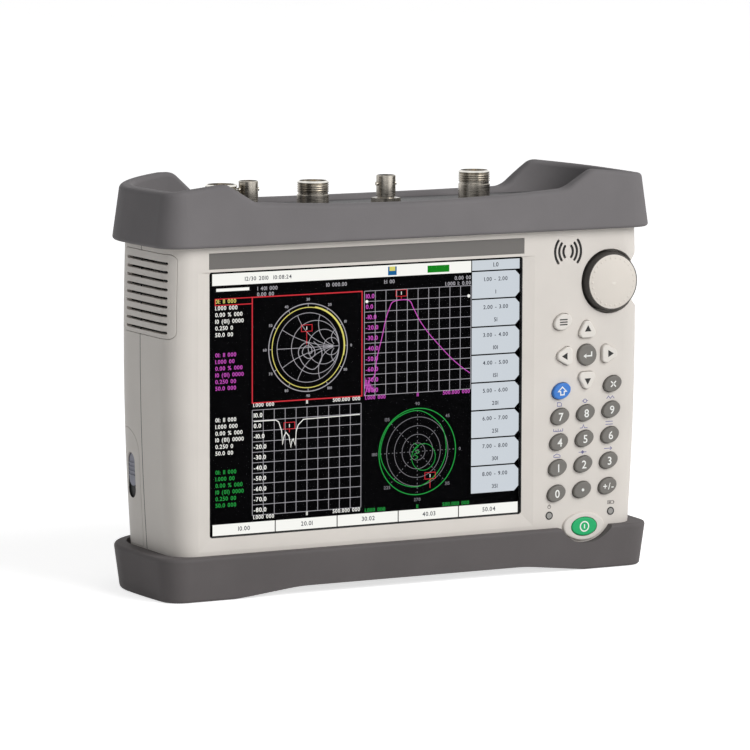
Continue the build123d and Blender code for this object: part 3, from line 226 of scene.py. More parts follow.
slot_finishes = {
    "case_plastic": moulded("case_plastic", CASE_IVORY, 0.5, depth=0.06),
    "bumper_rubber": moulded("bumper_rubber", BUMPER_GREY, 0.65, grain=0.5, mottle=0.05, specular=0.1),
    "lower_rubber": moulded("lower_rubber", LOWER_GREY, 0.65, grain=0.5, mottle=0.05, specular=0.1),
    "window_glass": clear_pane("window_glass"),
    "black_rubber": moulded("black_rubber", (16, 16, 16), 0.6),
    "display_panel": moulded("display_panel", (5, 5, 6), 0.5, grain=0.3, depth=0.01, specular=0.01),
    "strip_grey": moulded("strip_grey", STRIP_GREY, 0.45, grain=0.4, depth=0.03),
    "key_grey": moulded("key_grey", KEY_GREY, 0.6, grain=0.5, depth=0.06, mottle=0.05),
    "key_white": moulded("key_white", KEY_IVORY, 0.55, grain=0.5),
    "key_blue": moulded("key_blue", KEY_BLUE, 0.5, grain=0.5),
    "key_green": moulded("key_green", KEY_GREEN, 0.5, grain=0.5),
    "light_lens": moulded("light_lens", (150, 148, 144), 0.25, depth=0.01, specular=0.6),
    "board_green": moulded("board_green", (34, 84, 50), 0.45),
    "membrane_rubber": moulded("membrane_rubber", (150, 150, 146), 0.6),
    "knob_rubber": moulded("knob_rubber", KNOB_GREY, 0.5, grain=0.4),
    "knob_face": moulded("knob_face", KNOB_IVORY, 0.45, grain=0.5),
    "steel": turned_metal("steel", (166, 166, 168), 0.35),
    "encoder_grey": moulded("encoder_grey", (52, 52, 54), 0.5),
    "speaker_black": moulded("speaker_black", (14, 14, 14), 0.7, grain=0.9, depth=0.2),
    "shield_metal": turned_metal("shield_metal", (186, 188, 190), 0.4),
    "lead_copper": turned_metal("lead_copper", (196, 142, 98), 0.35),
    "nickel": turned_metal("nickel", NICKEL, 0.25, reflection_streak=0.5),
    "socket_plastic": moulded("socket_plastic", (228, 226, 218), 0.4),
    "contact_gold": turned_metal("contact_gold", GOLD, 0.3),
    "panel_metal": moulded("panel_metal", (58, 57, 58), 0.5, grain=0.8, depth=0.05),
    "fan_black": moulded("fan_black", (14, 14, 15), 0.55),
    "battery_dark": moulded("battery_dark", (34, 34, 36), 0.55),
    "latch_grey": moulded("latch_grey", LATCH_GREY, 0.5),
    "bail_grey": moulded("bail_grey", (92, 91, 91), 0.5),
}

for subpart in frame["record"]["subparts"]:
    node_mesh = frame["nodes"][subpart["node"]].data
    node_mesh.materials.clear()
    node_mesh.materials.append(slot_finishes[subpart["material_slot"]])

legend_finishes = {shade: moulded(name, colour, 0.5, grain=0.2, depth=0.01) for shade, name, colour in (
    ("white", "legend_white", LEGEND_WHITE), ("black", "legend_black", LEGEND_BLACK),
    ("blue", "print_blue", PRINT_BLUE), ("grey", "print_grey", PRINT_GREY))}
legend_slots = {"white": "key_white", "black": "black_rubber", "blue": "key_blue", "grey": "strip_grey"}

screen_finishes = {shade: lit(f"screen_{shade}", colour) for shade, colour in SCREEN_COLOURS.items()}


# Flat marks

def as_piece(name, mesh, material, body):
    """An object for a finished mesh, riding on a body."""
    piece = bpy.data.objects.new(name, mesh)
    bpy.context.scene.collection.objects.link(piece)
    mesh.materials.clear()
    mesh.materials.append(material)
    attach(piece, body)
    return piece


def ribbon(points, width, closed=False):
    """Outline points and faces of a line of even width along points."""
    spots = [Vector(point) for point in points]
    count = len(spots)
    outline = []
    for index, spot in enumerate(spots):
        before = spots[index - 1] if closed or index else spot
        after = spots[(index + 1) % count] if closed or index + 1 < count else spot
        way_in = (spot - before).normalized()
        way_out = (after - spot).normalized()
        way = (way_in + way_out).normalized()
        corner = max(way.dot(way_in), way.dot(way_out), 0.5)
        side = Vector((-way.y, way.x)) * (width / 2 / corner)
        outline += [spot + side, spot - side]
    faces = []
    for index in range(count if closed else count - 1):
        following = (index + 1) % count
        faces.append([2 * index + 1, 2 * following + 1, 2 * following, 2 * index])
    return outline, faces


def away(centre, angle, reach):
    """A place that lies reach away from a centre, along an angle in degrees."""
    turned = math.radians(angle)
    return centre[0] + reach * math.cos(turned), centre[1] + reach * math.sin(turned)


def arc(x, z, radius, start=0, end=360, steps=48):
    """Points along an arc, from start to end in degrees."""
    return [away((x, z), start + (end - start) * step / steps, radius) for step in range(steps + 1)]


def circle(x, z, radius, steps=48):
    """Points round a circle, without the first one again."""
    return arc(x, z, radius, steps=steps)[:-1]


def oblong(left, top, right, bottom):
    """The four corners of an upright oblong."""
    return [(left, bottom), (right, bottom), (right, top), (left, top)]


glyph_store = {}
STROKE_GROWTH = 0.012    # thickens the strokes of characters
GLYPH_GAP = 0.16         # between characters, of a digit's height
BLANK_WIDTH = 0.45


def glyph(character):
    """Points, faces and width of a plain character, for a digit height of 1."""
    if character not in glyph_store:
        curve = bpy.data.curves.new("character", "FONT")
        curve.body = character
        curve.resolution_u = 3
        curve.offset = STROKE_GROWTH
        curve.fill_mode = "FRONT"
        holder = bpy.data.objects.new("character", curve)
        flat = bpy.data.meshes.new_from_object(holder)
        points = [(vertex.co.x, vertex.co.y) for vertex in flat.vertices]
        faces = [list(polygon.vertices) for polygon in flat.polygons]
        digit = glyph("0")[3] if character != "0" else max(y for _, y in points)
        left = min(x for x, _ in points)
        points = [((x - left) / digit, y / digit) for x, y in points]
        glyph_store[character] = (points, faces, max(x for x, _ in points), digit)
        bpy.data.objects.remove(holder)
        bpy.data.curves.remove(curve)
        bpy.data.meshes.remove(flat)
    return glyph_store[character]


class Inlay:
    """Flat marks of one colour that face the viewer, gathered into one closed mesh."""

    def __init__(self, front_y, thickness, place=None, up=1):
        self.mesh = bmesh.new()
        self.front_y = front_y
        self.back_y = front_y + thickness
        self.place = place or (lambda x, z: (x, z))
        self.up = up

    def slab(self, points, faces):
        """A closed slab over flat faces, which are lists of indices into points."""
        flat = [self.place(*point) for point in points]
        front = [self.mesh.verts.new((x * MM, self.front_y * MM, z * MM)) for x, z in flat]
        back = [self.mesh.verts.new((x * MM, self.back_y * MM, z * MM)) for x, z in flat]
        rims = set()
        for face in faces:
            corners = [flat[index] for index in face]
            area = sum(a[0] * b[1] - b[0] * a[1] for a, b in zip(corners, corners[1:] + corners[:1]))
            turned = list(face) if area > 0 else list(reversed(face))
            self.mesh.faces.new([front[index] for index in turned])
            self.mesh.faces.new([back[index] for index in reversed(turned)])
            rims.update(zip(turned, turned[1:] + turned[:1]))
        for start, end in sorted(rims):
            if (end, start) not in rims:
                self.mesh.faces.new((front[end], front[start], back[start], back[end]))

    def area(self, points):
        """A filled outline."""
        self.slab(points, [list(range(len(points)))])

    def line(self, points, width, closed=False):
        """A line of even width."""
        self.slab(*ribbon(points, width, closed))

    def text(self, characters, x, z, height, align="centre"):
        """Plain characters on one line, with z at their foot."""
        widths = [BLANK_WIDTH if character == " " else glyph(character)[2] for character in characters]
        length = sum(widths) + GLYPH_GAP * (len(widths) - 1)
        pen = x - height * length * {"left": 0, "centre": 0.5, "right": 1}[align]
        for character, width in zip(characters, widths):
            if character != " ":
                points, faces = glyph(character)[:2]
                self.slab([(pen + px * height, z + self.up * pz * height) for px, pz in points], faces)
            pen += (width + GLYPH_GAP) * height

    def piece(self, name, material, body, slot):
        """The marks as one finished piece."""
        mesh = bpy.data.meshes.new(name)
        self.mesh.to_mesh(mesh)
        self.mesh.free()
        return as_piece(name, mesh, material, body)


# Repeats, made by geometry trees

def start_tree(name, sizes):
    """A geometry tree with named inputs, its input node and its output node."""
    tree = bpy.data.node_groups.new(name, "GeometryNodeTree")
    tree.interface.new_socket("Geometry", in_out="INPUT", socket_type="NodeSocketGeometry")
    for label, kind in sizes.items():
        tree.interface.new_socket(label, in_out="INPUT", socket_type=kind)
    tree.interface.new_socket("Material", in_out="INPUT", socket_type="NodeSocketMaterial")
    tree.interface.new_socket("Geometry", in_out="OUTPUT", socket_type="NodeSocketGeometry")
    return tree, tree.nodes.new("NodeGroupInput").outputs, tree.nodes.new("NodeGroupOutput")


def end_tree(tree, given, result, copy):
    """Puts a copy at each of the given points, makes it real and gives it its material."""
    placed = add_node(tree, "GeometryNodeInstanceOnPoints", Points=given["Geometry"], Instance=copy)
    real = add_node(tree, "GeometryNodeRealizeInstances", Geometry=placed.outputs["Instances"])
    coated = add_node(tree, "GeometryNodeSetMaterial", Geometry=real.outputs["Geometry"],
                      Material=given["Material"])
    tree.links.new(coated.outputs["Geometry"], result.inputs["Geometry"])
    return tree


def grid_tree():
    """Crossed lines of a chart, seen from the front, from the lower left corner."""
    tree, given, result = start_tree("chart_grid", {
        "Width": "NodeSocketFloat", "Height": "NodeSocketFloat", "Columns": "NodeSocketInt",
        "Rows": "NodeSocketInt", "Line": "NodeSocketFloat", "Depth": "NodeSocketFloat"})
    bundle = add_node(tree, "GeometryNodeJoinGeometry")
    for length, span, count, upright in (("Height", "Width", "Columns", True), ("Width", "Height", "Rows", False)):
        half = computed(tree, "MULTIPLY", given[length], 0.5)
        gap = computed(tree, "DIVIDE", given[span], given[count])
        fence = computed(tree, "ADD", given[count], 1)
        long_axis, cross_axis = ("Z", "X") if upright else ("X", "Z")
        size = add_node(tree, "ShaderNodeCombineXYZ", Y=given["Depth"],
                        **{long_axis: given[length], cross_axis: given["Line"]})
        start = add_node(tree, "ShaderNodeCombineXYZ", **{long_axis: half})
        step = add_node(tree, "ShaderNodeCombineXYZ", **{cross_axis: gap})
        bar = add_node(tree, "GeometryNodeMeshCube", Size=size.outputs["Vector"])
        row = add_node(tree, "GeometryNodeMeshLine", [("mode", "OFFSET")], Count=fence,
                       Start_Location=start.outputs["Vector"], Offset=step.outputs["Vector"])
        bars = add_node(tree, "GeometryNodeInstanceOnPoints", Points=row.outputs["Mesh"],
                        Instance=bar.outputs["Mesh"])
        tree.links.new(bars.outputs["Instances"], bundle.inputs["Geometry"])
    return end_tree(tree, given, result, bundle.outputs["Geometry"])


def dot_ring_tree():
    """A ring of flat round dots that faces the viewer."""
    tree, given, result = start_tree("dot_ring", {
        "Radius": "NodeSocketFloat", "Count": "NodeSocketInt", "Dot": "NodeSocketFloat",
        "Flatness": "NodeSocketFloat"})
    ring = add_node(tree, "GeometryNodeMeshCircle", Vertices=given["Count"], Radius=given["Radius"])
    upright = add_node(tree, "GeometryNodeTransform", Geometry=ring.outputs["Mesh"],
                       Rotation=(math.pi / 2, 0, 0))
    ball = add_node(tree, "GeometryNodeMeshUVSphere", Segments=12, Rings=6, Radius=given["Dot"])
    squash = add_node(tree, "ShaderNodeCombineXYZ", X=1.0, Y=given["Flatness"], Z=1.0)
    dots = add_node(tree, "GeometryNodeInstanceOnPoints", Points=upright.outputs["Geometry"],
                    Instance=ball.outputs["Mesh"], Scale=squash.outputs["Vector"])
    return end_tree(tree, given, result, dots.outputs["Instances"])


def grown(name, tree, points, material, body, slot, **sizes):
    """Runs a tree on an object made of the given points, in millimetres, and keeps the mesh that it grows."""
    seed = bpy.data.meshes.new(name + "_points")
    seed.from_pydata([tuple(part * MM for part in point) for point in points], [], [])
    holder = bpy.data.objects.new(name + "_points", seed)
    bpy.context.scene.collection.objects.link(holder)
    modifier = holder.modifiers.new("repeats", "NODES")
    modifier.node_group = tree
    for item in tree.interface.items_tree:
        if item.in_out == "INPUT" and item.name in sizes:
            modifier[item.identifier] = sizes[item.name]
        elif item.in_out == "INPUT" and item.name == "Material":
            modifier[item.identifier] = material
    held = bpy.context.evaluated_depsgraph_get()
    mesh = bpy.data.meshes.new_from_object(holder.evaluated_get(held))
    holder.modifiers.remove(modifier)
    bpy.data.objects.remove(holder)
    shape = bmesh.new()
    shape.from_mesh(mesh)
    bmesh.ops.recalc_face_normals(shape, faces=shape.faces)
    shape.to_mesh(mesh)
    shape.free()
    mesh.name = name
    return as_piece(name, mesh, material, body)


def corners(node):
    """Lowest and highest corner of a node, in millimetres."""
    low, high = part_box(node)
    return low / MM, high / MM


# The lit screen, laid out on its own units: 640 across and 480 down from the upper left corner

SCREEN_COLUMNS = 640
SCREEN_ROWS = 480
LIT_WIDTH = 168.9
LIT_SHIFT_X = 1.3        # middle of the lit part from the middle of the display module
LIT_SHIFT_Z = -0.35
LAYER = 0.03             # each kind of mark lies this far in front of the last

module_low, module_high = corners("display_module")
screen_unit = LIT_WIDTH / SCREEN_COLUMNS
screen_left = (module_low.x + module_high.x) / 2 + LIT_SHIFT_X - LIT_WIDTH / 2
screen_top = (module_low.z + module_high.z) / 2 + LIT_SHIFT_Z + screen_unit * SCREEN_ROWS / 2
screen_face = module_low.y

HEADER_FOOT = 21.5
FOOTER_HEAD = 459.5
MENU_LEFT = 538.5
MENU_KEY_HEAD = 21.5
MENU_KEY_PITCH = 52.4
MENU_KEY_GAP = 2.6
MENU_KEY_COUNT = 8
MENU_CORNER = 9
FOOTER_CELLS = 5
COLUMN_LEFT = 6
ROW_PITCH = 12.2
TEXT_HEIGHT = 7.4
CAPTION_HEIGHT = 7
LEFT_CHARTS = 81
RIGHT_CHARTS = 312
UPPER_CHARTS = 46
LOWER_CHARTS = 253.3
CHART_WIDTH = 224.5
FRAME_WIDTH = 226        # of the red frame
FRAME_TAB_FOOT = 57.5
CHART_HEIGHT = 194
CHART_CELLS = 10
THIN_LINE = 1.0
TRACE_LINE = 1.4
ROUND_RADIUS = 81
MATCH_CENTRE = (195.5, 144)
POLAR_CENTRE = (424, 351)


def on_screen(across, down):
    """A place on the screen's own units, in millimetres on the object."""
    return screen_left + across * screen_unit, screen_top - down * screen_unit


screen_marks = {}


def screen_mark(colour, layer):
    """The marks of one colour on one layer of the screen."""
    if (colour, layer) not in screen_marks:
        screen_marks[colour, layer] = Inlay(screen_face - layer * LAYER, layer * LAYER + LAYER / 2, on_screen, -1)
    return screen_marks[colour, layer]


def smooth(points, steps=6):
    """A smooth line through a few points."""
    ends = [points[0], *points, points[-1]]
    result = [points[0]]
    for a, b, c, d in zip(ends, ends[1:], ends[2:], ends[3:]):
        for step in range(1, steps + 1):
            t = step / steps
            result.append(tuple(
                b[axis] + 0.5 * t * (c[axis] - a[axis]
                                     + t * (2 * a[axis] - 5 * b[axis] + 4 * c[axis] - d[axis]
                                            + t * (3 * (b[axis] - c[axis]) + d[axis] - a[axis])))
                for axis in (0, 1)))
    return result


def marker(across, down, stalk_end):
    """A red marker box with its number, and a stalk down to the trace."""
    half_width, half_height = 11, 6
    screen_mark("red", 4).line(oblong(across - half_width, down - half_height, across + half_width,
                                      down + half_height), THIN_LINE, True)
    screen_mark("white", 5).text("1", across, down + 3, 6)
    screen_mark("red", 4).line([(across, down + half_height), (across, stalk_end)], THIN_LINE)


def draw_bars():
    """White header and footer, the menu keys down the right side, and what is written on them."""
    screen_mark("white", 1).area(oblong(0, 0, MENU_LEFT - 2, HEADER_FOOT))
    ink = screen_mark("ink", 2)
    ink.text("12/30 2010  10:08:24", 66, 15, TEXT_HEIGHT, "left")
    screen_mark("leaf", 2).area(oblong(444, 5, 490, 18))
    screen_mark("blue", 2).area(oblong(361, 3, 379, 19))
    screen_mark("yellow", 3).area(oblong(364, 3, 376, 11))
    menu = screen_mark("pale", 1)
    menu.area(oblong(MENU_LEFT, 0, SCREEN_COLUMNS, MENU_KEY_HEAD - MENU_KEY_GAP))
    ink.text("1.0", (MENU_LEFT + SCREEN_COLUMNS) / 2, 13, 8)
    for key in range(MENU_KEY_COUNT):
        head = MENU_KEY_HEAD + key * MENU_KEY_PITCH
        foot = head + MENU_KEY_PITCH - MENU_KEY_GAP
        edge = SCREEN_COLUMNS - MENU_CORNER
        menu.area([(MENU_LEFT, foot), (edge, foot), (SCREEN_COLUMNS, foot - MENU_CORNER),
                   (SCREEN_COLUMNS, head + MENU_CORNER), (edge, head), (MENU_LEFT, head)])
        middle = (MENU_LEFT + SCREEN_COLUMNS) / 2
        ink.text(f"{key + 1}.00 - {key + 2}.00", middle, head + 18, TEXT_HEIGHT)
        ink.text(str(key * 50 + 1), middle, head + 42, TEXT_HEIGHT)
    footer_cell = SCREEN_COLUMNS / FOOTER_CELLS
    for cell in range(FOOTER_CELLS):
        left = cell * footer_cell + (1 if cell else 0)
        screen_mark("white", 1).area(oblong(left, FOOTER_HEAD, (cell + 1) * footer_cell - 1, SCREEN_ROWS))
        ink.text(f"{cell + 1}0.0{cell}", left + footer_cell / 2, FOOTER_HEAD + 14, 8)


def draw_readouts():
    """Columns of plain numbers beside the charts."""
    screen_mark("white", 1).area(oblong(8, 27, 75, 32.5))
    for reading, across, down, align in (
            ("1 401 000", 112, 34, "centre"), ("0.00 00", 108, 44.5, "centre"), ("10 000.00", 254, 34, "centre"),
            ("1:1 00", 364, 34, "centre"), ("0.00 00", 536, 34, "right"), ("1.000 1: 0.00", 536, 44, "right")):
        screen_mark("grey", 2).text(reading, across, down, CAPTION_HEIGHT, align)
    upper = ["01: 11 000", "1.000 000", "0.00 % 000", "10 (01) 0000", "0.250 0", "50.0 00"]
    lower = ["01: 11 000", "1.000 00", "0.00 % 000", "10 (01) 0000", "0.250 00", "50.0 000"]
    for colour, head, readings in (("white", 54, upper), ("magenta", 152, lower), ("white", 271, upper),
                                   ("green", 367, lower)):
        for row, reading in enumerate(readings):
            shade = "yellow" if head == 54 and row == 0 else colour
            screen_mark(shade, 2).text(reading, COLUMN_LEFT, head + row * ROW_PITCH, TEXT_HEIGHT, "left")
    for chart_left, chart_foot, colour in ((LEFT_CHARTS, 240, "white"), (RIGHT_CHARTS, 240, "magenta"),
                                           (LEFT_CHARTS, 447, "white"), (RIGHT_CHARTS, 450, "green")):
        caption = screen_mark(colour, 2)
        caption_foot = chart_foot + TEXT_HEIGHT
        caption.text("1.000 000", chart_left + 2, caption_foot, CAPTION_HEIGHT, "left")
        caption.text("11", chart_left + CHART_WIDTH / 2, caption_foot, CAPTION_HEIGHT)
        caption.text("500.000 000", chart_left + CHART_WIDTH - 2, caption_foot, CAPTION_HEIGHT, "right")


def draw_frames():
    """Red frame round the chart in use, and grid lines of the two square charts."""
    red = screen_mark("red", 3)
    red.line(oblong(LEFT_CHARTS, UPPER_CHARTS, LEFT_CHARTS + FRAME_WIDTH, UPPER_CHARTS + CHART_HEIGHT), 2.0, True)
    red.line([(LEFT_CHARTS, UPPER_CHARTS), (COLUMN_LEFT, UPPER_CHARTS), (COLUMN_LEFT, FRAME_TAB_FOOT),
              (LEFT_CHARTS, FRAME_TAB_FOOT)], 1.6)
    grid = grid_tree()
    for name, left, head in (("upper_chart_grid", RIGHT_CHARTS, UPPER_CHARTS),
                             ("lower_chart_grid", LEFT_CHARTS, LOWER_CHARTS)):
        x, z = on_screen(left, head + CHART_HEIGHT)
        grown(name, grid, [(x, screen_face, z)], screen_finishes["grey"], "case", "display_panel",
              Width=CHART_WIDTH * screen_unit * MM, Height=CHART_HEIGHT * screen_unit * MM,
              Columns=CHART_CELLS, Rows=CHART_CELLS, Line=THIN_LINE * screen_unit * MM, Depth=2 * LAYER * MM)
    cell = CHART_HEIGHT / CHART_CELLS
    for colour, left, head in (("magenta", RIGHT_CHARTS, UPPER_CHARTS), ("white", LEFT_CHARTS, LOWER_CHARTS)):
        scale = screen_mark(colour, 4)
        for row in range(CHART_CELLS):
            scale.text(f"{10 - 10 * row}.0", left + 3, head + (row + 0.7) * cell, 8, "left")
    for across in (RIGHT_CHARTS + 5, RIGHT_CHARTS + CHART_WIDTH - 5):
        screen_mark("white", 4).area(circle(across, UPPER_CHARTS + cell, 3, 12))


def draw_match_chart():
    """Circles of equal resistance and arcs of equal reactance, with a trace near the rim."""
    centre_x, centre_y = MATCH_CENTRE

    def chart_point(resistance, reactance):
        wave = (complex(resistance, reactance) - 1) / (complex(resistance, reactance) + 1)
        return centre_x + wave.real * inner, centre_y - wave.imag * inner

    inner = ROUND_RADIUS * 0.79
    grey = screen_mark("grey", 2)
    grey.line(circle(centre_x, centre_y, ROUND_RADIUS, 72), 1.6, True)
    grey.line(circle(centre_x, centre_y, inner, 72), THIN_LINE, True)
    for resistance in (0.3, 1, 3):
        share = resistance / (1 + resistance)
        grey.line(circle(centre_x + share * inner, centre_y, (1 - share) * inner, 60), THIN_LINE, True)
    for reactance in (0.3, 0.7, 1.5, 4):
        for sign in (-1, 1):
            sweep = [math.tan(math.radians(angle)) for angle in range(0, 88, 4)]
            grey.line([chart_point(value, sign * reactance) for value in sweep], THIN_LINE)
    grey.line([(centre_x - inner, centre_y), (centre_x + inner, centre_y)], THIN_LINE)
    for step in range(12):
        grey.line([away(MATCH_CENTRE, step * 30, reach) for reach in (ROUND_RADIUS * 0.93, ROUND_RADIUS)], THIN_LINE)
        across, down = away(MATCH_CENTRE, -step * 30, ROUND_RADIUS + 8)
        grey.text(str(step * 10), across, down + 2.5, 5)
    yellow = screen_mark("yellow", 3)
    rim = ROUND_RADIUS * 0.915
    yellow.line(circle(centre_x, centre_y, rim, 72), TRACE_LINE, True)
    yellow.line(arc(centre_x + 1, centre_y - 1, rim, -80, 15, 30), 2.4)
    loops = [(11.2, -10.4), (26.7, 4.5), (26.7, 25.3), (11.2, 40.8), (-8.1, 32.2), (-19.8, 11.4), (-15.9, -2.4),
             (-2.3, -9.3), (11.2, 1), (13.2, 14.9), (-0.4, 20.1), (-12, 9.7), (-6.2, -2.4), (5.4, -0.7), (7.4, 9.7),
             (-0.4, 11.4)]
    grey.line(smooth([(centre_x + across, centre_y + down) for across, down in loops]), 1.3)
    marker(centre_x - 3, centre_y - 36, centre_y - 6)


def draw_level_traces():
    """A passband in the upper right chart, and a level trace with a notch in the lower left one."""
    passband = [(313, 240), (322, 215), (333, 204), (338, 173), (348, 136), (357, 99), (364, 81), (373, 68),
                (404, 67), (415, 83), (428, 106), (446, 130), (464, 149), (493, 178), (516, 197), (535, 210)]
    screen_mark("magenta", 3).line(smooth(passband), TRACE_LINE)
    hash_left, hash_foot = 313, 239
    hash_line = [(hash_left + step * 0.9, hash_foot - (34 - step) * (0.35 + 0.65 * (step % 3) / 2))
                 for step in range(24)]
    screen_mark("magenta", 3).line(hash_line, TRACE_LINE)
    notch = [(84, 274), (129, 274), (135, 278), (141, 295), (143, 320), (146, 305), (150, 298), (156, 305),
             (160, 326), (162, 315), (165, 311), (169, 323), (171, 297), (175, 286), (186, 276), (303, 274)]
    screen_mark("white", 3).line(notch, TRACE_LINE)
    marker(389, 53, 64)
    marker(157, 286, 298)


def draw_polar_chart():
    """Rings and dotted axes, with a trace round the rim and some loops inside."""
    centre_x, centre_y = POLAR_CENTRE
    green = screen_mark("green", 3)
    green.line(circle(centre_x, centre_y, ROUND_RADIUS, 72), 1.6, True)
    grey = screen_mark("dim", 2)
    for share in (0.2, 0.4, 0.6, 0.8):
        grey.line(circle(centre_x, centre_y, ROUND_RADIUS * share, 60), THIN_LINE, True)
    for angle in range(0, 360, 45):
        for dash in range(10):
            ends = [away(POLAR_CENTRE, angle, ROUND_RADIUS * (dash + share) / 10) for share in (0.25, 0.6)]
            grey.line(ends, THIN_LINE)
        across, down = away(POLAR_CENTRE, -angle, ROUND_RADIUS + 9)
        grey.text(str(angle), across, down + 3, 6)
    reaches = (60, 61, 68, 77, 79, 78, 70, 66, 60, 61, 68)
    wander = [away(POLAR_CENTRE, 45 - turn * 45, reach) for turn, reach in enumerate(reaches)]
    green.line(smooth(wander, 8)[8:72], TRACE_LINE, True)
    green.line(circle(centre_x + 13, centre_y + 11, 25, 40), THIN_LINE, True)
    squiggle = [(-8, -16), (2, -10), (-6, -4), (4, 1), (-7, 5), (1, 10), (-5, 14)]
    green.line(smooth([(centre_x + across, centre_y + down) for across, down in squiggle]), THIN_LINE)
    marker(centre_x + 27, centre_y + 47, centre_y + 70)


draw_bars()
draw_readouts()
draw_frames()
draw_match_chart()
draw_level_traces()
draw_polar_chart()
for (colour, layer), marks in screen_marks.items():
    marks.piece(f"screen_{colour}_marks_{layer}", screen_finishes[colour], "case", "display_panel")

# Black lining of the window's edge: partly the dark gasket, partly painted shade on the recess wall
LINING = 0.3
LINING_DEPTH = 0.65
WINDOW_BORDER = 2.8      # pane past the window's edge
pane_low, pane_high = corners("display_window")
lining_inset = WINDOW_BORDER + LINING / 2
gasket_and_shade = Inlay(pane_low.y - LINING_DEPTH, LINING_DEPTH)
gasket_and_shade.line(oblong(pane_low.x + lining_inset, pane_high.z - lining_inset,
                   pane_high.x - lining_inset, pane_low.z + lining_inset), LINING, True)
gasket_and_shade.piece("window_lining", slot_finishes["black_rubber"], "case", "black_rubber")


# Legends on the keys

LEGEND_PROUD = 0.03
LEGEND_SUNK = 0.06
DIGIT_HEIGHT = 4.0


def printed(face, place=None):
    """Marks printed on a face that lies at a depth."""
    return Inlay(face - LEGEND_PROUD, LEGEND_PROUD + LEGEND_SUNK, place)


def key_top(key):
    """Middle of a key and the depth of its crown."""
    low, high = corners(key)
    return (low.x + high.x) / 2, (low.z + high.z) / 2, low.y


def legend(key, colour, draw):
    """Draws a legend about the middle of a key's crown."""
    x, z, top = key_top(key)
    marks = printed(top, lambda across, up: (x + across, z + up))
    draw(marks)
    marks.piece(f"{key}_legend", legend_finishes[colour], key, legend_slots[colour])


def number(characters, height=DIGIT_HEIGHT):
    """Draws plain characters in the middle of a key."""
    return lambda marks: marks.text(characters, 0, -height / 2, height)


def draw_point(marks):
    marks.area(circle(0, 0, 0.75, 20))


def strokes(lines, width, closed=False):
    """Draws lines of one width."""
    def draw(marks):
        for points in lines:
            marks.line(points, width, closed)
    return draw


def draw_return_arrow(marks):
    marks.line([(2.1, 1.7), (2.1, -0.5), (-1.2, -0.5)], 0.7)
    marks.area([(-2.6, -0.5), (-0.9, -1.7), (-0.9, 0.7)])


def draw_power_sign(marks):
    marks.line(circle(0, 0, 2.4, 40), 0.65, True)
    marks.line([(0, -1.1), (0, 1.1)], 0.65)


def arrow_head(turn):
    """Draws a filled triangle that points along turn, in degrees."""
    size = 2.1
    return lambda marks: marks.area([away((0, 0), turn + step, size) for step in (0, 120, 240)])


for digit in range(10):
    legend(f"digit_{digit}_key", "white", number(str(digit)))
legend("decimal_point_key", "white", draw_point)
legend("plus_minus_key", "white", number("+/-", 3.3))
legend("menu_key", "black", strokes([[(-2.2, rise), (2.2, rise)] for rise in (-1.25, 0, 1.25)], 0.6))
legend("enter_key", "white", draw_return_arrow)
legend("shift_key", "white", strokes([[(0, 2.1), (2.3, -0.1), (1.0, -0.1), (1.0, -1.8), (-1.0, -1.8), (-1.0, -0.1),
                                       (-2.3, -0.1)]], 0.6, True))
legend("escape_key", "white", strokes([[(-1.4, -1.4 * sign), (1.4, 1.4 * sign)] for sign in (-1, 1)], 0.65))
legend("power_key", "white", draw_power_sign)
for arrow, turn in {"right": 0, "up": 90, "left": 180, "down": 270}.items():
    legend(f"{arrow}_arrow_key", "black", arrow_head(turn))


# Small signs printed on the case above the number keys and the lights

SIGN_RISE = 6.0          # key's middle to its sign
LIGHT_SIGN_RISE = 4.4
SIGN_LINE = 0.32
PANE_SETBACK = 1.5       # case face to the pane
face_y = pane_low.y - PANE_SETBACK

sign_lines = {
    "digit_7_key": [[(-1.2, -0.9), (1.2, -0.9), (1.2, 0.3), (0.6, 0.9), (-1.2, 0.9), (-1.2, -0.9)]],
    "digit_8_key": [circle(0, 0, 0.9, 20) + [(0.9, 0)], [(-1.7, 0), (-0.9, 0)], [(0.9, 0), (1.7, 0)]],
    "digit_9_key": [[(-2.2, -0.6), (-1.1, 0.7), (0, -0.6), (1.1, 0.7), (2.2, -0.6)]],
    "digit_4_key": [[(-2.6, -0.6), (2.6, -0.6)], [(-2.6, -0.6), (-2.6, 0.7)], [(-1.3, -0.6), (-1.3, 0.2)],
                    [(0, -0.6), (0, 0.7)], [(1.3, -0.6), (1.3, 0.2)], [(2.6, -0.6), (2.6, 0.7)]],
    "digit_5_key": [[(-2.2, -0.7), (-0.8, -0.7), (-0.2, 0.8), (0.4, -0.7), (2.2, -0.7)]],
    "digit_6_key": [[(-2.1, 0.7), (2.1, 0.7)], [(-2.1, -0.7), (2.1, -0.7)]],
    "digit_1_key": [[(-1.8, -0.8), (-1.8, 0.1), (0, 0.9), (1.8, 0.1), (1.8, -0.8), (-1.8, -0.8)]],
    "digit_2_key": [[(-2.2, 0), (2.2, 0)], [(0, -0.9), (0, 0.9)], circle(0, 0, 0.55, 16) + [(0.55, 0)]],
    "digit_3_key": [[(-2.2, 0), (2.2, 0)], [(1.2, -0.8), (2.2, 0), (1.2, 0.8)]],
}
signs = printed(face_y)
for key, lines in sign_lines.items():
    x, z, _ = key_top(key)
    for points in lines:
        signs.line([(x + across, z + SIGN_RISE + up) for across, up in points], SIGN_LINE)
signs.piece("key_signs", legend_finishes["blue"], "case", "key_blue")

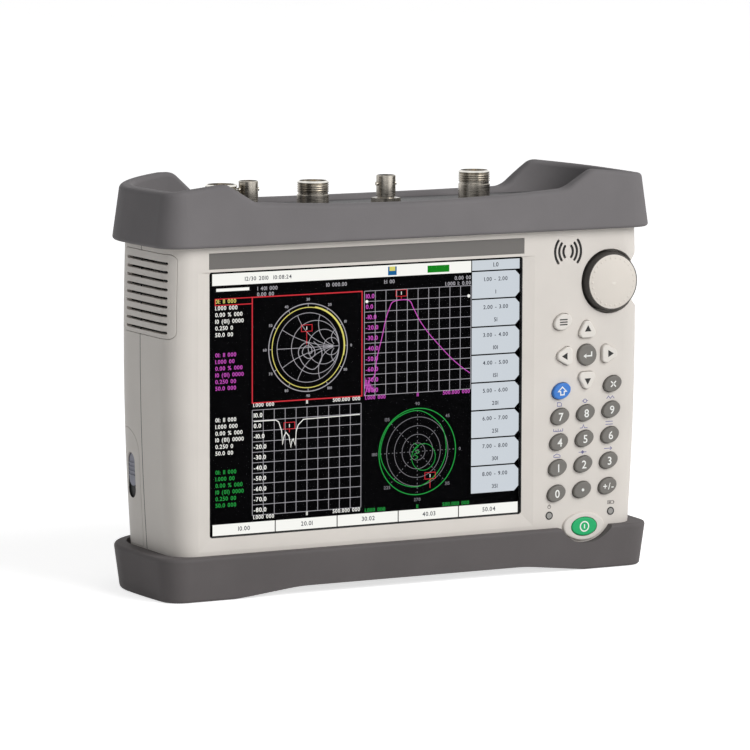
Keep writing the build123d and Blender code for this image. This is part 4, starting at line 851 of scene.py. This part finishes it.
lights_low, lights_high = corners("status_lights")
light_z = (lights_low.z + lights_high.z) / 2
light_radius = (lights_high.z - lights_low.z) / 2
light_xs = (lights_low.x + light_radius, lights_high.x - light_radius)
labels = printed(face_y)
left_x, right_x = light_xs
label_z = light_z + LIGHT_SIGN_RISE
labels.line(circle(left_x, label_z, 0.85, 24), SIGN_LINE, True)
labels.line([(left_x, label_z), (left_x, label_z + 1.3)], SIGN_LINE)
labels.line(oblong(right_x - 1.7, label_z + 0.75, right_x + 1.7, label_z - 0.75), SIGN_LINE, True)
labels.area(oblong(right_x - 1.2, label_z + 0.4, right_x + 0.4, label_z - 0.4))
labels.area(oblong(right_x + 1.75, label_z + 0.4, right_x + 2.2, label_z - 0.4))
labels.piece("light_signs", legend_finishes["grey"], "case", "strip_grey")

RING_WIDTH = 0.55
rings = Inlay(lights_low.y - LEGEND_PROUD, face_y - lights_low.y + LEGEND_SUNK)
for light_x in light_xs:
    rings.line(circle(light_x, light_z, light_radius, 32), RING_WIDTH, True)
rings.piece("light_rings", legend_finishes["black"], "case", "black_rubber")

# Black fill in the slots of the speaker, filling them to just below the case face: painted shade of the slots
SLOT_WIDTH = 1.4
SLOT_CENTRE = 1.8        # each set of slots curves about a point beyond the middle
SLOT_RADIUS = 4.5        # of the inmost slot
SLOT_PITCH = 2.35
SLOT_HALF_ANGLE = 37
SLOT_COUNT = 3           # on each side
SLOT_SHADE_SINK = 0.35
SLOT_SHADE_THICKNESS = 0.6
speaker_low, speaker_high = corners("speaker")
speaker_x, speaker_z = (speaker_low.x + speaker_high.x) / 2, (speaker_low.z + speaker_high.z) / 2
slot_shade_fill = Inlay(face_y + SLOT_SHADE_SINK, SLOT_SHADE_THICKNESS)
for side in (-1, 1):
    for slot in range(SLOT_COUNT):
        path = arc(-SLOT_CENTRE, 0, SLOT_RADIUS + slot * SLOT_PITCH, -SLOT_HALF_ANGLE, SLOT_HALF_ANGLE, 16)
        slot_shade_fill.line([(speaker_x + side * across, speaker_z + up) for across, up in path], SLOT_WIDTH)
slot_shade_fill.piece("speaker_cloth", slot_finishes["speaker_black"], "case", "speaker_black")

# Turned bodies of the type N ports with a cut thread, and painted highlights on the rims of all the ports: thin rings
# of a lighter nickel

THREAD_PITCH = 1.06
THREAD_DEPTH = 0.5
THREAD_SHAPE = ((0, 0.1), (1, 0.45), (1, 0.65), (0, 1))    # shares of the depth, and of the pitch
THREAD_END = 0.1
PORT_RIM = 0.8           # chamfer at the mouth
PORT_GROOVE = 0.8        # height of the groove under the thread
GROOVE_DEPTH = 0.5
COLLAR_EDGE = 0.3        # chamfer of the collar under the groove
PORT_BORE = 6.6
PORT_BORE_DEPTH = 9.0
PORT_TAIL = 6.0          # radius under the panel
RIM_COAT = 0.03
RIM_SINK = 0.15          # painted rim highlight into the body
RIM_GAP = 0.05           # bore to painted rim highlight
RIM_LIP = 0.02           # painted rim highlight past the edges of the body
RIM_INSET = 0.2          # foot of the painted rim highlight inside the crest
BNC_BORE = 4.05
BNC_RIM = 4.52
BNC_RIM_FOOT = 0.2
ROUND_STEPS = 64
SHARP_ANGLE = 25
N_PORTS = ("left_n_port", "middle_n_port", "right_n_port")
BNC_PORTS = ("left_bnc_port", "right_bnc_port")
mounts = {mount["name"]: mount for mount in frame["record"]["mounts"]}
panel_top = corners("connector_panel")[1].z
tail_foot = corners("n_socket_bodies")[0].z


def turn_round(shape, x, y, profile, closed):
    """Turns a profile of radii and heights, in millimetres, round an upright axis; an open one ends on the axis."""
    rows = []
    for radius, height in profile:
        if radius == 0:
            rows.append([shape.verts.new((x * MM, y * MM, height * MM))])
            continue
        angles = [2 * math.pi * step / ROUND_STEPS for step in range(ROUND_STEPS)]
        rows.append([shape.verts.new(((x + radius * math.cos(angle)) * MM, (y + radius * math.sin(angle)) * MM,
                                      height * MM)) for angle in angles])
    pairs = list(zip(rows, rows[1:] + rows[:1])) if closed else list(zip(rows, rows[1:]))
    for low, high in pairs:
        for step in range(ROUND_STEPS):
            following = (step + 1) % ROUND_STEPS
            if len(low) == 1:
                shape.faces.new((low[0], high[following], high[step]))
            elif len(high) == 1:
                shape.faces.new((low[step], low[following], high[0]))
            else:
                shape.faces.new((low[step], low[following], high[following], high[step]))


def finish_turned(name, shape, material):
    """A turned or drawn-out shape as a piece of the case, smooth but for its edges."""
    mesh = bpy.data.meshes.new(name)
    bmesh.ops.recalc_face_normals(shape, faces=shape.faces)
    shape.to_mesh(mesh)
    shape.free()
    mesh.shade_smooth()
    mesh.set_sharp_from_angle(angle=math.radians(SHARP_ANGLE))
    return as_piece(name, mesh, material, "case")


port_bodies = bmesh.new()
port_rims = bmesh.new()
for port in N_PORTS:
    x, y, middle = (part / MM for part in mounts[port]["pos_m"])
    crest = mounts[port]["dims"]["r_mm"]
    length = mounts[port]["dims"]["length_mm"]
    root = crest - THREAD_DEPTH
    foot, head = middle - length / 2, middle + length / 2
    mouth = head + PORT_RIM
    thread = []
    for turn in range(int(length / THREAD_PITCH)):
        start = foot + turn * THREAD_PITCH
        thread += [(root + rise * THREAD_DEPTH, start + along * THREAD_PITCH) for rise, along in THREAD_SHAPE]
    groove_foot = foot - PORT_GROOVE
    turn_round(port_bodies, x, y, [
        (0, tail_foot), (PORT_TAIL, tail_foot), (PORT_TAIL, panel_top), (crest, panel_top),
        (crest, groove_foot - COLLAR_EDGE), (crest - COLLAR_EDGE, groove_foot), (crest - GROOVE_DEPTH, groove_foot),
        (crest - GROOVE_DEPTH, foot), *thread, (crest, head - THREAD_END), (crest, head),
        (crest - PORT_RIM, mouth), (PORT_BORE, mouth), (PORT_BORE, mouth - PORT_BORE_DEPTH),
        (0, mouth - PORT_BORE_DEPTH)], False)
    turn_round(port_rims, x, y, [
        (PORT_BORE + RIM_GAP, mouth + RIM_COAT), (crest - PORT_RIM + RIM_LIP, mouth + RIM_COAT),
        (crest + RIM_LIP, head + RIM_COAT), (crest - RIM_INSET, head - THREAD_END),
        (crest - PORT_RIM - RIM_INSET / 2, mouth - RIM_SINK),
        (PORT_BORE + RIM_GAP, mouth - RIM_SINK)], True)
for port in BNC_PORTS:
    x, y, mouth = (part / MM for part in mounts[port]["pos_m"])
    inner = BNC_BORE + RIM_GAP
    turn_round(port_rims, x, y, [(inner, mouth - RIM_GAP), (BNC_RIM, mouth - RIM_GAP), (BNC_RIM, mouth - BNC_RIM_FOOT),
                                 (inner, mouth - BNC_RIM_FOOT)], True)
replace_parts(finish_turned("n_port_bodies", port_bodies, slot_finishes["nickel"]), "n_socket_bodies")
# painted highlights: the port rims in a lighter nickel
finish_turned("port_rims", port_rims, turned_metal("bright_nickel", HIGHLIGHT_NICKEL, 0.2))

# Painted shadow in the gap where the two halves of the case meet, on both sides: a black strip just under the surface
SEAM_HALF_WIDTH = 0.3
SEAM_SINK = 0.06
SEAM_DEPTH = 0.5
SEAM_CHAMFER = 0.35      # each half of the case is chamfered where they meet
SEAM_SLACK = 0.05
SEAM_TURN = 8            # where the side has drawn in this far, it has turned the corner
seam_y = corners("rear_case")[0].y
vent_low, vent_high = corners("vent_grille")


def side_line(side, low, high):
    """Places up one side of the case where its halves meet, between two heights."""
    edge = {}
    for vertex in frame["nodes"]["front_case"].data.vertices:
        x, y, z = vertex.co / MM
        if side * x > 0 and abs(seam_y - SEAM_CHAMFER - y) < SEAM_SLACK:
            height = round(z, 1)
            edge[height] = max(edge.get(height, 0), side * x)
    widest = max(edge.values())
    heights = sorted(height for height, reach in edge.items() if reach > widest - SEAM_TURN)
    places = []
    for below, above in zip(heights, heights[1:]):
        for height in (max(below, low), min(above, high)):
            if below <= height <= above and low < high:
                share = (height - below) / (above - below)
                places.append((height, edge[below] + share * (edge[above] - edge[below])))
    return [(side * reach, height) for height, reach in sorted(set(places))]


def add_seam(shape, side, low, high):
    """A closed strip along the seam, just under the surface, for its painted shadow."""
    rows = []
    for x, z in side_line(side, low, high):
        outer, inner = x - side * SEAM_SINK, x - side * (SEAM_SINK + SEAM_DEPTH)
        rows.append([shape.verts.new((across * MM, y * MM, z * MM)) for across, y in (
            (outer, seam_y - SEAM_HALF_WIDTH), (outer, seam_y + SEAM_HALF_WIDTH),
            (inner, seam_y + SEAM_HALF_WIDTH), (inner, seam_y - SEAM_HALF_WIDTH))])
    for below, above in zip(rows, rows[1:]):
        for corner in range(4):
            following = (corner + 1) % 4
            shape.faces.new((below[corner], below[following], above[following], above[corner]))
    shape.faces.new(rows[0])
    shape.faces.new(rows[-1])


seam_shadow = bmesh.new()
seam_low, seam_high = corners("bottom_bumper")[1].z, corners("top_bumper")[0].z
add_seam(seam_shadow, 1, seam_low, seam_high)
add_seam(seam_shadow, -1, seam_low, vent_low.z)
add_seam(seam_shadow, -1, vent_high.z, seam_high)
finish_turned("case_seam", seam_shadow, slot_finishes["black_rubber"])

# Painted shade lining the slot in which the battery latch slides, in the left side of the battery door
LATCH_SLOT_WIDTH = 8.9
LATCH_SLOT_HEIGHT = 22.4
SLOT_SHADE_EDGE = 0.1
SLOT_WALL = 0.9          # shaded part of the slot's depth
latch_low, latch_high = corners("battery_latch")
latch_gap = (LATCH_SLOT_WIDTH - (latch_high.y - latch_low.y)) / 2
latch_slot_y = (latch_low.y + latch_high.y) / 2
latch_slot_z = latch_high.z + latch_gap - LATCH_SLOT_HEIGHT / 2


def latch_slot_outline(inset):
    """Points round the latch's slot, as the left side of the object shows it."""
    radius = LATCH_SLOT_WIDTH / 2 - inset
    rise = (LATCH_SLOT_HEIGHT - LATCH_SLOT_WIDTH) / 2
    return (arc(-latch_slot_y, latch_slot_z + rise, radius, 0, 180, 24)
            + arc(-latch_slot_y, latch_slot_z - rise, radius, 180, 360, 24))


slot_shade = printed(latch_high.x)
slot_shade.area(latch_slot_outline(SLOT_SHADE_EDGE))
slot_shade.front_y = latch_high.x - SLOT_WALL
slot_shade.line(latch_slot_outline(SLOT_SHADE_EDGE / 2), SLOT_SHADE_EDGE, True)
for vertex in slot_shade.mesh.verts:
    across, depth, height = vertex.co
    vertex.co = (depth, -across, height)
slot_shade.piece("latch_slot_lining", slot_finishes["black_rubber"], "battery_door", "black_rubber")

# Ring of dots on the knob's cap
DOT_COUNT = 26
DOT_RADIUS = 0.62
DOT_INSET = 1.7
DOT_FLATNESS = 0.35
CAP_CROWN = 1.2          # cap's middle over its edge
cap_low, cap_high = corners("knob_cap")
cap_radius = (cap_high.x - cap_low.x) / 2
dot_circle = cap_radius - DOT_INSET
dot_depth = cap_low.y + CAP_CROWN * (dot_circle / cap_radius) ** 2
grown("knob_cap_dots", dot_ring_tree(),
      [((cap_low.x + cap_high.x) / 2, dot_depth, (cap_low.z + cap_high.z) / 2)],
      slot_finishes["knob_face"], "knob", "knob_face", Radius=dot_circle * MM, Count=DOT_COUNT,
      Dot=DOT_RADIUS * MM, Flatness=DOT_FLATNESS)


# Studio: pale floor, soft light and the camera

FLOOR_HALF = 6000
FLOOR_DROP = 0.2
FLOOR_GLOW = 0.7
SKY_LIGHT = 0.28


def background_share(tree):
    """1 for a ray that shows the background: from the camera, in a reflection or through glass."""
    path = tree.nodes.new("ShaderNodeLightPath")
    share = path.outputs["Is Camera Ray"]
    for kind in ("Is Glossy Ray", "Is Transmission Ray"):
        share = computed(tree, "MAXIMUM", share, path.outputs[kind])
    return share


def make_floor():
    """Pale floor that fades to white for the camera and keeps the object's shadow."""
    mesh = bpy.data.meshes.new("floor")
    reach = FLOOR_HALF * MM
    height = -FLOOR_DROP * MM
    mesh.from_pydata([(-reach, -reach, height), (reach, -reach, height), (reach, reach, height),
                      (-reach, reach, height)], [], [(0, 1, 2, 3)])
    floor = bpy.data.objects.new("floor", mesh)
    bpy.context.scene.collection.objects.link(floor)
    material, tree, shader, place = start_finish("floor_paper")
    fill(tree, shader, Roughness=0.9, Specular_IOR_Level=0.1, Emission_Color=(1, 1, 1, 1),
         Base_Color=between_colours(tree, patches(tree, place, 300), linear(236, 236, 236), linear(240, 240, 240)),
         Emission_Strength=computed(tree, "MULTIPLY", background_share(tree), FLOOR_GLOW))
    mesh.materials.append(material)


def make_sky():
    """Even pale light from all round, white where it shows."""
    world = bpy.data.worlds.new("studio")
    world.use_nodes = True
    tree = world.node_tree
    strength = add_node(tree, "ShaderNodeMapRange", To_Min=SKY_LIGHT, To_Max=1.0, Value=background_share(tree))
    fill(tree, tree.nodes["Background"], Color=(1, 1, 1, 1), Strength=strength.outputs["Result"])
    bpy.context.scene.world = world


def make_softbox(name, place, size, power, colour=(1, 1, 1)):
    """A square softbox that shines on the middle of the object."""
    lamp = bpy.data.lights.new(name, "AREA")
    lamp.shape = "SQUARE"
    lamp.size = size * MM
    lamp.energy = power
    lamp.color = colour
    softbox = bpy.data.objects.new(name, lamp)
    softbox.location = Vector(place) * MM
    aim = Vector(CAMERA_TARGET) * MM - softbox.location
    softbox.rotation_euler = aim.to_track_quat("-Z", "Y").to_euler()
    bpy.context.scene.collection.objects.link(softbox)


def make_camera():
    """The camera of the photograph."""
    azimuth, elevation = math.radians(CAMERA_AZIMUTH), math.radians(CAMERA_ELEVATION)
    back = Vector((math.sin(azimuth) * math.cos(elevation), -math.cos(azimuth) * math.cos(elevation),
                   math.sin(elevation)))
    lens = bpy.data.cameras.new("camera")
    lens.lens = CAMERA_LENS
    lens.sensor_width = CAMERA_SENSOR
    lens.clip_end = 100
    camera = bpy.data.objects.new("camera", lens)
    camera.location = (Vector(CAMERA_TARGET) + back * CAMERA_DISTANCE) * MM
    camera.rotation_euler = (-back).to_track_quat("-Z", "Y").to_euler()
    camera.rotation_euler.rotate_axis("Z", math.radians(CAMERA_ROLL))
    bpy.context.scene.collection.objects.link(camera)
    bpy.context.scene.camera = camera


make_floor()
make_sky()
make_softbox("key_softbox", (1500, -2900, 2250), 2500, 112)
make_softbox("cool_softbox", (-2800, -500, 900), 2000, 2, (0.7, 0.86, 1))
make_camera()
bpy.context.scene.view_settings.view_transform = "Standard"
